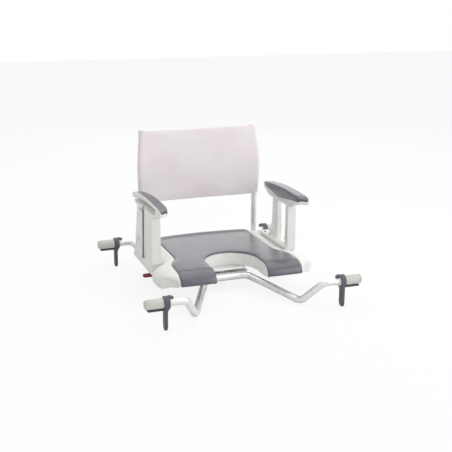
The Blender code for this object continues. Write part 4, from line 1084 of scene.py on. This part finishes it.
# %% Finishes on the CAD solids
cad_finish = dict.fromkeys(["hub_plate", "turn_plate"], tube_paint)
cad_finish.update(dict.fromkeys(["bearing_lower", "bearing_upper"], white_plastic))
cad_finish.update(dict.fromkeys(
    ["index_plate", "spindle", "spindle_nut", "cross_bar_front", "cross_bar_rear", "bolt_guide",
     "lever_pin", "lever_arm", "lock_bolt"] + ["clamp_pin_" + tag for tag, _, _ in CORNERS], steel))
for name, finish in cad_finish.items():
    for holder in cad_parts[name].material_slots:
        holder.material = finish
print("CAD solids with a finish:", len(cad_finish))

# %% [markdown]
# ## Floor and light
#
# A product photograph is taken in a white room. The floor is white to the camera and keeps a part
# of the object's shadow; a wide lamp overhead, one at the front right and a weak one behind give
# the soft modelling. The world shows white to the camera and in reflections. To the object's
# surfaces it gives less light, and more of it from the right than from the left.

# %% Floor
FLOOR_HALF, FLOOR_Z, FLOOR_GLOW = 9, -0.0005, 0.86
floor_white, tree, shader = new_finish("floor_white", (0.86, 0.86, 0.86), 0.9, specular=0.1)
glow = node(tree, "ShaderNodeEmission", {"Color": (1, 1, 1, 1), "Strength": 1.0})
seen = node(tree, "ShaderNodeLightPath").outputs["Is Camera Ray"]
share = node(tree, "ShaderNodeMath", {0: seen, 1: FLOOR_GLOW}, operation="MULTIPLY")
blend = node(tree, "ShaderNodeMixShader", {"Fac": share.outputs[0], 1: shader.outputs[0],
                                           2: glow.outputs[0]})
feed(tree, tree.nodes["Material Output"], {"Surface": blend.outputs[0]})
mesh = bpy.data.meshes.new("floor")
mesh.from_pydata([(x * FLOOR_HALF, y * FLOOR_HALF, FLOOR_Z)
                  for x, y in ((-1, -1), (1, -1), (1, 1), (-1, 1))], [], [(0, 1, 2, 3)])
mesh.materials.append(floor_white)
floor = put("floor", mesh)
print("floor is", 2 * FLOOR_HALF, "m wide")

# %% World
LEFT_FILL, RIGHT_FILL = 0.52, 0.80
world = bpy.data.worlds.new("white_room")
bpy.context.scene.world = world
world.use_nodes = True
tree = world.node_tree
tree.nodes.clear()
seen = node(tree, "ShaderNodeLightPath").outputs
shown = seen["Is Camera Ray"]
for ray in ("Is Glossy Ray", "Is Transmission Ray"):
    shown = node(tree, "ShaderNodeMath", {0: shown, 1: seen[ray]}, operation="ADD",
                 use_clamp=True).outputs[0]
way = node(tree, "ShaderNodeTexCoord").outputs["Generated"]
fill = node(tree, "ShaderNodeMapRange", {
    "Value": node(tree, "ShaderNodeSeparateXYZ", {0: way}).outputs["X"], "From Min": -1.0,
    "From Max": 1.0, "To Min": LEFT_FILL, "To Max": RIGHT_FILL})
dim, white = [node(tree, "ShaderNodeBackground", {"Color": (1, 1, 1, 1), "Strength": strength})
              for strength in (fill.outputs["Result"], 1.0)]
mix = node(tree, "ShaderNodeMixShader", {"Fac": shown, 1: dim.outputs[0], 2: white.outputs[0]})
node(tree, "ShaderNodeOutputWorld", {"Surface": mix.outputs[0]})
print("world has", len(tree.nodes), "nodes")


# %% Lamps
def lamp(name, place, aim, size, watts):
    data = bpy.data.lights.new(name, "AREA")
    data.shape, data.size, data.size_y, data.energy = "RECTANGLE", size[0], size[1], watts
    ob = put(name, data)
    ob.location = place
    ob.rotation_euler = (Vector(aim) - Vector(place)).to_track_quat("-Z", "Y").to_euler()
    ob.visible_camera = False
    print("lamp", name, watts, "W")


lamp("overhead", (0.3, 0.4, 2.6), (0, 0, 0.1), (3.4, 3.4), 36)
lamp("front_right", (2.6, -2.6, 1.8), (0, 0, 0.2), (3.2, 3.0), 50)
lamp("behind", (1.05, 2.8, 1.0), (0, 0, 0.12), (2.4, 1.4), 5)
bpy.context.scene.view_settings.view_transform = "Standard"
